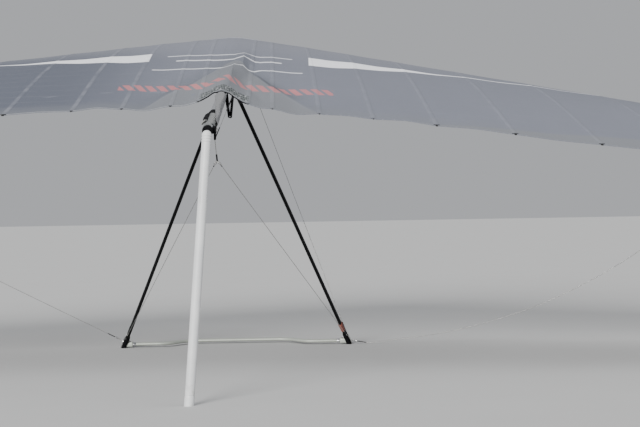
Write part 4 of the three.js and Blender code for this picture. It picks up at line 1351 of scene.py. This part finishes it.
def endLoop(cables, ferrules, sleeves, place, onward, dark):
    # a teardrop loop from its fitting, the ferrule that closes it, and a dark sleeve
    onward = onward.normalized()
    across = onward.cross(Vector((0.1, 0.2, 1))).normalized()
    tear = []
    for k in range(21):
        turn = 2 * math.pi * k / 20
        reach = stayLook["loopLength"] * (1 - math.cos(turn / 2 + math.pi / 2) ** 2)
        wide = stayLook["loopWidth"] / 2 * math.sin(turn) * (1.0 - 0.25 * math.cos(turn))
        tear.append(place + onward * (stayLook["loopLength"] - reach) + across * wide)
    cableForm(cables, tear, stayLook["radius"])
    base = strutFrame(place + onward * (stayLook["loopLength"] - 0.003), place + onward * 0.2, across)
    f, span = stayLook["ferrule"], stayLook["ferruleLength"]
    turned(ferrules, [(0, 0), (f * 0.8, 0), (f, 0.0012), (f, span - 0.0012), (f * 0.8, span), (0, span)],
           base @ Matrix.Diagonal((1.25, 0.85, 1, 1)), 20)
    s = stayLook["sleeve"]
    darkEnd = span + dark
    turned(sleeves, [(0, span), (s * 0.9, span), (s, span + 0.003), (s, darkEnd), (s * 0.7, darkEnd + 0.002),
                     (0, darkEnd + 0.002)], base, 16)


def addStay(name, points, startDark=0.05, endDark=0.05):
    cables, ferrules, sleeves = bmesh.new(), bmesh.new(), bmesh.new()
    # the loop, ferrule and sleeve at each end are stiff, so the cable only bends past them
    stiff = stayLook["loopLength"] + stayLook["ferruleLength"] + 0.002
    first, last = points[0], points[-1]
    inner = [point for point in points[1:-1]
             if (point - first).length > stiff + startDark and (point - last).length > stiff + endDark]
    points = [first, *inner, last]
    toNext, toBefore = points[1] - first, points[-2] - last
    endLoop(cables, ferrules, sleeves, first, toNext, startDark)
    endLoop(cables, ferrules, sleeves, last, toBefore, endDark)
    run = [first + toNext.normalized() * stayLook["loopLength"], *points[1:-1],
           last + toBefore.normalized() * stayLook["loopLength"]]
    if len(run) == 2:
        run.insert(1, (run[0] + run[1]) / 2)
    cableForm(cables, run, stayLook["radius"])
    addPiece(f"{name}_cable", cables, stayCable, instead=[name])
    addPiece(f"{name}_ferrules", ferrules, brushedSteel)
    addPiece(f"{name}_sleeves", sleeves, darkSleeve)


# The right side stay lies slack: share of the way from the corner to the wing, and height
slackHeights = [
    (0.0, 0.040), (0.012, 0.020), (0.03, 0.009), (0.05, 0.0075), (0.081, 0.014), (0.14, 0.034),
    (0.217, 0.062), (0.285, 0.097), (0.345, 0.137), (0.401, 0.180), (0.457, 0.228), (0.55, 0.333),
    (0.65, 0.470), (0.75, 0.640), (0.86, 0.856),
]
stropTop = fromKeel(0.026, 0.060, -0.022)
stropWay = (atCorner(0, stayLook["cornerUp"]) - stropTop).normalized()
stropEnd = stropTop + stropWay * stayLook["strop"]
for sideName, sign in sides.items():
    cornerPoint = atCorner(sign * (frameLook["cornerX"] + stayLook["cornerOut"]), stayLook["cornerUp"])
    nosePoint = fromKeel(sign * stayLook["spread"], stayLook["catchAlong"], stayLook["catchUp"] - 0.004)
    lift = (nosePoint - cornerPoint).normalized()
    addStay(f"front_stay_{sideName}", [cornerPoint + lift * 0.022, nosePoint - lift * 0.012])
    rearPoint = stropEnd + Vector((sign * 0.005, 0, 0))
    lift = (rearPoint - cornerPoint).normalized()
    addStay(f"rear_stay_{sideName}", [cornerPoint + lift * 0.022, rearPoint - lift * 0.008], endDark=0.012)
    tangOut, tangShare = stayLook["tangOut"], stayLook["tangShare"]
    station = stationAt(tangOut)
    tangAlong = station[0] - tangShare * (station[0] - station[2])
    tangUp = bottomUp(station, tangOut, tangShare) - 0.0006 - 0.011 - 0.0015
    wingPoint = fromWing(sign * tangOut, tangAlong, tangUp)
    hanging = []
    for k in range(61):
        share = 0.010 + 0.982 * (k / 60) ** 1.5
        place = cornerPoint.lerp(wingPoint, share)
        if sideName == "right":
            place.z = smoothBetween([*slackHeights, (1.0, wingPoint.z)], share)[0]
        else:
            place.z -= 4 * stayLook["sag"] * share * (1 - share)
        hanging.append(place)
    addStay(f"side_stay_{sideName}", hanging)

    # tang under the wing: a folded steel strap with its bolt
    form = bmesh.new()
    tangPlace = wingFrame @ moved(sign * tangOut, tangAlong, tangUp)
    for out in (-0.0065, 0.0065):
        block(form, (0.0026, 0.030, 0.022), tangPlace @ moved(out, 0, 0), 0.001, 2)
    block(form, (0.016, 0.040, 0.0026), tangPlace @ moved(0, 0, 0.0097), 0.001, 2)
    rod(form, 0.0028, -0.0078, 0.0078, tangPlace @ moved(0, 0, -0.003) @ spun(90, "Y"), 16)
    addPiece(f"side_tang_{sideName}", form, brushedSteel, instead=[f"side_stay_tang_{sideName}"])

# strop between the rear tang and the ring where the rear stays part
form = bmesh.new()
stropStart = stropTop + stropWay * 0.016
cableForm(form, [stropStart, stropStart.lerp(stropEnd, 0.5), stropEnd - stropWay * 0.006], 0.0020)
addPiece("rear_strop_cable", form, stayCable, instead=["rear_strop"])
form = bmesh.new()
stropFrame = strutFrame(stropTop, stropEnd, Vector((1, 0, 0)))
turned(form, [(0, 0.012), (0.0022, 0.012), (0.0027, 0.016), (0.0027, 0.050), (0.0021, 0.054), (0, 0.054)],
       stropFrame, 18)
turned(form, [(0, 0.196), (0.0028, 0.198), (0.0040, 0.202), (0.0040, 0.258), (0.0032, 0.262), (0, 0.262)],
       stropFrame, 18)
addPiece("rear_strop_sleeves", form, darkSleeve)
form = bmesh.new()
ringPlace = Matrix.Translation(stropEnd)
shackle = [ringPlace @ Vector((0.0062 * math.cos(turn), 0.0010, 0.0046 * math.sin(turn)))
           for turn in spread(0.0, 2 * math.pi, 28)]
swept(form, pathFrames(shackle, Vector((0, 1, 0))), oval(0.0014, 0.0014), 12)
rod(form, 0.0024, -0.008, 0.008, ringPlace @ spun(90, "Y"), 14)
addPiece("stay_shackle", form, boltSteel, instead=["rear_stay_ring"])

# thin line below the keel's right side, with one dark sleeve on its way and one at its rear end
form = bmesh.new()
lineStart = fromKeel(0.051, frameLook["apexAlong"] - 0.026, -0.0343)
lineEnd = fromKeel(0.0305, 0.072, -0.0388)
cableForm(form, [lineStart, lineStart.lerp(lineEnd, 0.5), lineEnd], 0.0011)
addPiece("keel_line_thin", form, stayCable, instead=["keel_line"])
form = bmesh.new()
lineFrame = strutFrame(lineStart, lineEnd, Vector((1, 0, 0)))
lineLength = (lineEnd - lineStart).length
for start, end, thick in ((0.50, 1.04, 0.0036), (lineLength - 0.30, lineLength, 0.0026)):
    turned(form, [(0, start), (thick * 0.8, start), (thick, start + 0.006), (thick, end - 0.006),
                  (thick * 0.8, end), (0, end)], lineFrame, 14)
addPiece("keel_line_sleeves", form, darkSleeve)

# bolts of the black tang that carries the strop and the thin line
form = bmesh.new()
tangBolt = keelFrame @ moved(0.036, 0.060, -0.002) @ spun(90, "Y")
for along in (-0.018, 0.018):
    bolt(form, tangBolt @ moved(0, along, 0), 0.0042)
addPiece("rear_tang_bolts", form, boltSteel)

# Nose: bolts of the plate, and the catch of the front stays
form = bmesh.new()
for out, along in ((-0.11, 3.392), (0.11, 3.392), (-0.045, 3.285), (0.045, 3.285), (0.0, 3.335)):
    bolt(form, keelFrame @ moved(out, along, -0.0253) @ spun(180, "X"), 0.0046)
addPiece("nose_bolts", form, boltSteel)
form = bmesh.new()
catchPlace = keelFrame @ moved(0, stayLook["catchAlong"], stayLook["catchUp"])
block(form, (0.090, 0.044, 0.004), catchPlace @ moved(0, 0, 0.005), 0.0012, 2)
for out in (-0.043, -0.027, 0.027, 0.043):
    block(form, (0.0032, 0.040, 0.014), catchPlace @ moved(out, 0, 0), 0.001, 2)
rod(form, 0.0028, -0.044, 0.044, catchPlace @ moved(0, 0, -0.003) @ spun(90, "Y"), 18)
addPiece("stay_catch", form, brushedSteel, instead=["nose_catch"])
print("stays and fittings made")

# Hang point: a sleeve that turns on the keel, and a V of webbing that swings on its two studs
hangLook = {
    "along": 2.2, "length": 0.064, "radius": 0.0255, "thickness": 0.0034, "studOut": 0.0329,
    "halfWidth": 0.0148, "turn": 13.0, "leftTurn": 20.0,
    # each loop's distance out at its top, the radius of its bottom, and its depth below the keel's axis
    "loops": [(0.0312, 0.0075, 0.2418), (0.0277, 0.0032, 0.2300)],
}
form = bmesh.new()
h, hr = hangLook["length"] / 2, hangLook["radius"]
bore = keelOuter + 0.0004
turned(form, [(bore, -h), (hr - 0.0015, -h), (hr - 0.0002, -h + 0.0014), (hr - 0.0009, -h + 0.006),
              (hr - 0.0009, h - 0.006), (hr - 0.0002, h - 0.0014), (hr - 0.0015, h), (bore, h), (bore, -h)],
       tubeFrame @ moved(0, 0, hangLook["along"]), 56)
addPiece("hang_sleeve_round", form, blackRubber, body="hang_sleeve", instead=["hang_sleeve"])

hangPoint = fromKeel(0, hangLook["along"], 0)


def loopWay(top, bottom, reach):
    # the middle line of one loop of webbing, from its left stud down and up to its right one
    way = [Vector((-top, 0, 0.009)), Vector((-top, 0, 0.0)), Vector((-top, 0, -0.016))]
    leftTop, leftBottom = Vector((-top, 0, -0.020)), Vector((-bottom, 0, -reach + bottom))
    way += [leftTop.lerp(leftBottom, k / 10) for k in range(1, 11)]
    way += [Vector((bottom * math.sin(turn), 0, -reach + bottom - bottom * math.cos(turn)))
            for turn in (math.radians(a) for a in (-68, -42, -15, 15, 42, 68))]
    return way + [Vector((-p.x, 0, p.z)) for p in reversed(way[:13])]


# a main loop, and inside it a second one that backs it up
form = bmesh.new()
for top, bottom, reach in hangLook["loops"]:
    loopPath = loopWay(top, bottom, reach)
    loopRuns = runsAlong(loopPath)

    def loopPlace(across, row):
        # flat against the sleeve at its top, then turned a little about the plumb line
        down = -loopPath[row].z
        leftTurn = hangLook["leftTurn"] * (1 - ease(down, 0.10, 0.22)) if loopPath[row].x < 0 else 0
        turn = math.radians(hangLook["turn"] + leftTurn) * ease(down, 0.010, 0.060)
        side = Vector((across * math.sin(turn), across * math.cos(turn), 0))
        return hangPoint + loopPath[row] + side, (across, loopRuns[row]), (0.0, 0.0)

    loopColumns = spread(-hangLook["halfWidth"], hangLook["halfWidth"], 8)
    grown(form, loopColumns, list(range(len(loopPath))), loopPlace)
loop = addPiece("hang_webbing", form, blackWebbing, body="hang_loop", instead=["hang_loop"])
thicken(loop, hangLook["thickness"], 0.0)
roundEdges(loop, "soft_edge", 0.0011, 2).angle_limit = math.radians(60)
form = bmesh.new()
for sign in sides.values():
    stud = Matrix.Translation(hangPoint + Vector((sign * hangLook["studOut"], 0, 0))) @ spun(90 * sign, "Y")
    turned(form, [(0, 0), (0.008, 0), (0.008, 0.0006), (0.0055, 0.0016), (0, 0.002)], stud, 24)
addPiece("hang_studs", form, boltSteel, body="hang_loop")

# Finishes of the CAD pieces that stay as they are
keptFinishes = {"nose_plate": plateMetal, "rear_stay_tang": blackRubber}
for name, finish in keptFinishes.items():
    node = bpy.data.objects[name]
    node.data.materials.clear()
    node.data.materials.append(finish)
    weld = node.modifiers.new("weld", "WELD")
    weld.merge_threshold = 0.00002
    roundEdges(node, "edge_round", 0.0009, 2)
print("hang point made")

# Floor and light
form = bmesh.new()
bmesh.ops.create_grid(form, x_segments=1, y_segments=1, size=90.0)
floorMesh = bpy.data.meshes.new("floor")
form.to_mesh(floorMesh)
form.free()
floorFinish, start, shader = newFinish("floor_paint", 0.9)
feed(shader, "Base Color", blended(speckle(start, 2, 3), (0.50, 0.50, 0.495), (0.53, 0.53, 0.525)))
floorMesh.materials.append(floorFinish)
floor = bpy.data.objects.new("floor", floorMesh)
bpy.context.collection.objects.link(floor)

studio = {
    "sky": ((0.94, 0.96, 1.0), 0.48),
    # way the light goes, strength, width in degrees, colour
    "lamps": {
        "key": ((0.38, 0.86, -0.40), 4.6, 26.0, (1.0, 0.99, 0.97)),
        "top": ((-0.42, 0.10, -0.90), 0.8, 40.0, (0.97, 0.985, 1.0)),
    },
}
world = bpy.data.worlds.new("studio")
bpy.context.scene.world = world
world.use_nodes = True
background = world.node_tree.nodes["Background"]
background.inputs["Color"].default_value = (*studio["sky"][0], 1.0)
background.inputs["Strength"].default_value = studio["sky"][1]
for name, (way, strength, width, tint) in studio["lamps"].items():
    lampData = bpy.data.lights.new(name, "SUN")
    lampData.energy = strength
    lampData.angle = math.radians(width)
    lampData.color = tint
    lamp = bpy.data.objects.new(name, lampData)
    lamp.rotation_euler = Vector(way).to_track_quat("-Z", "Y").to_euler()
    bpy.context.collection.objects.link(lamp)
print("light set")
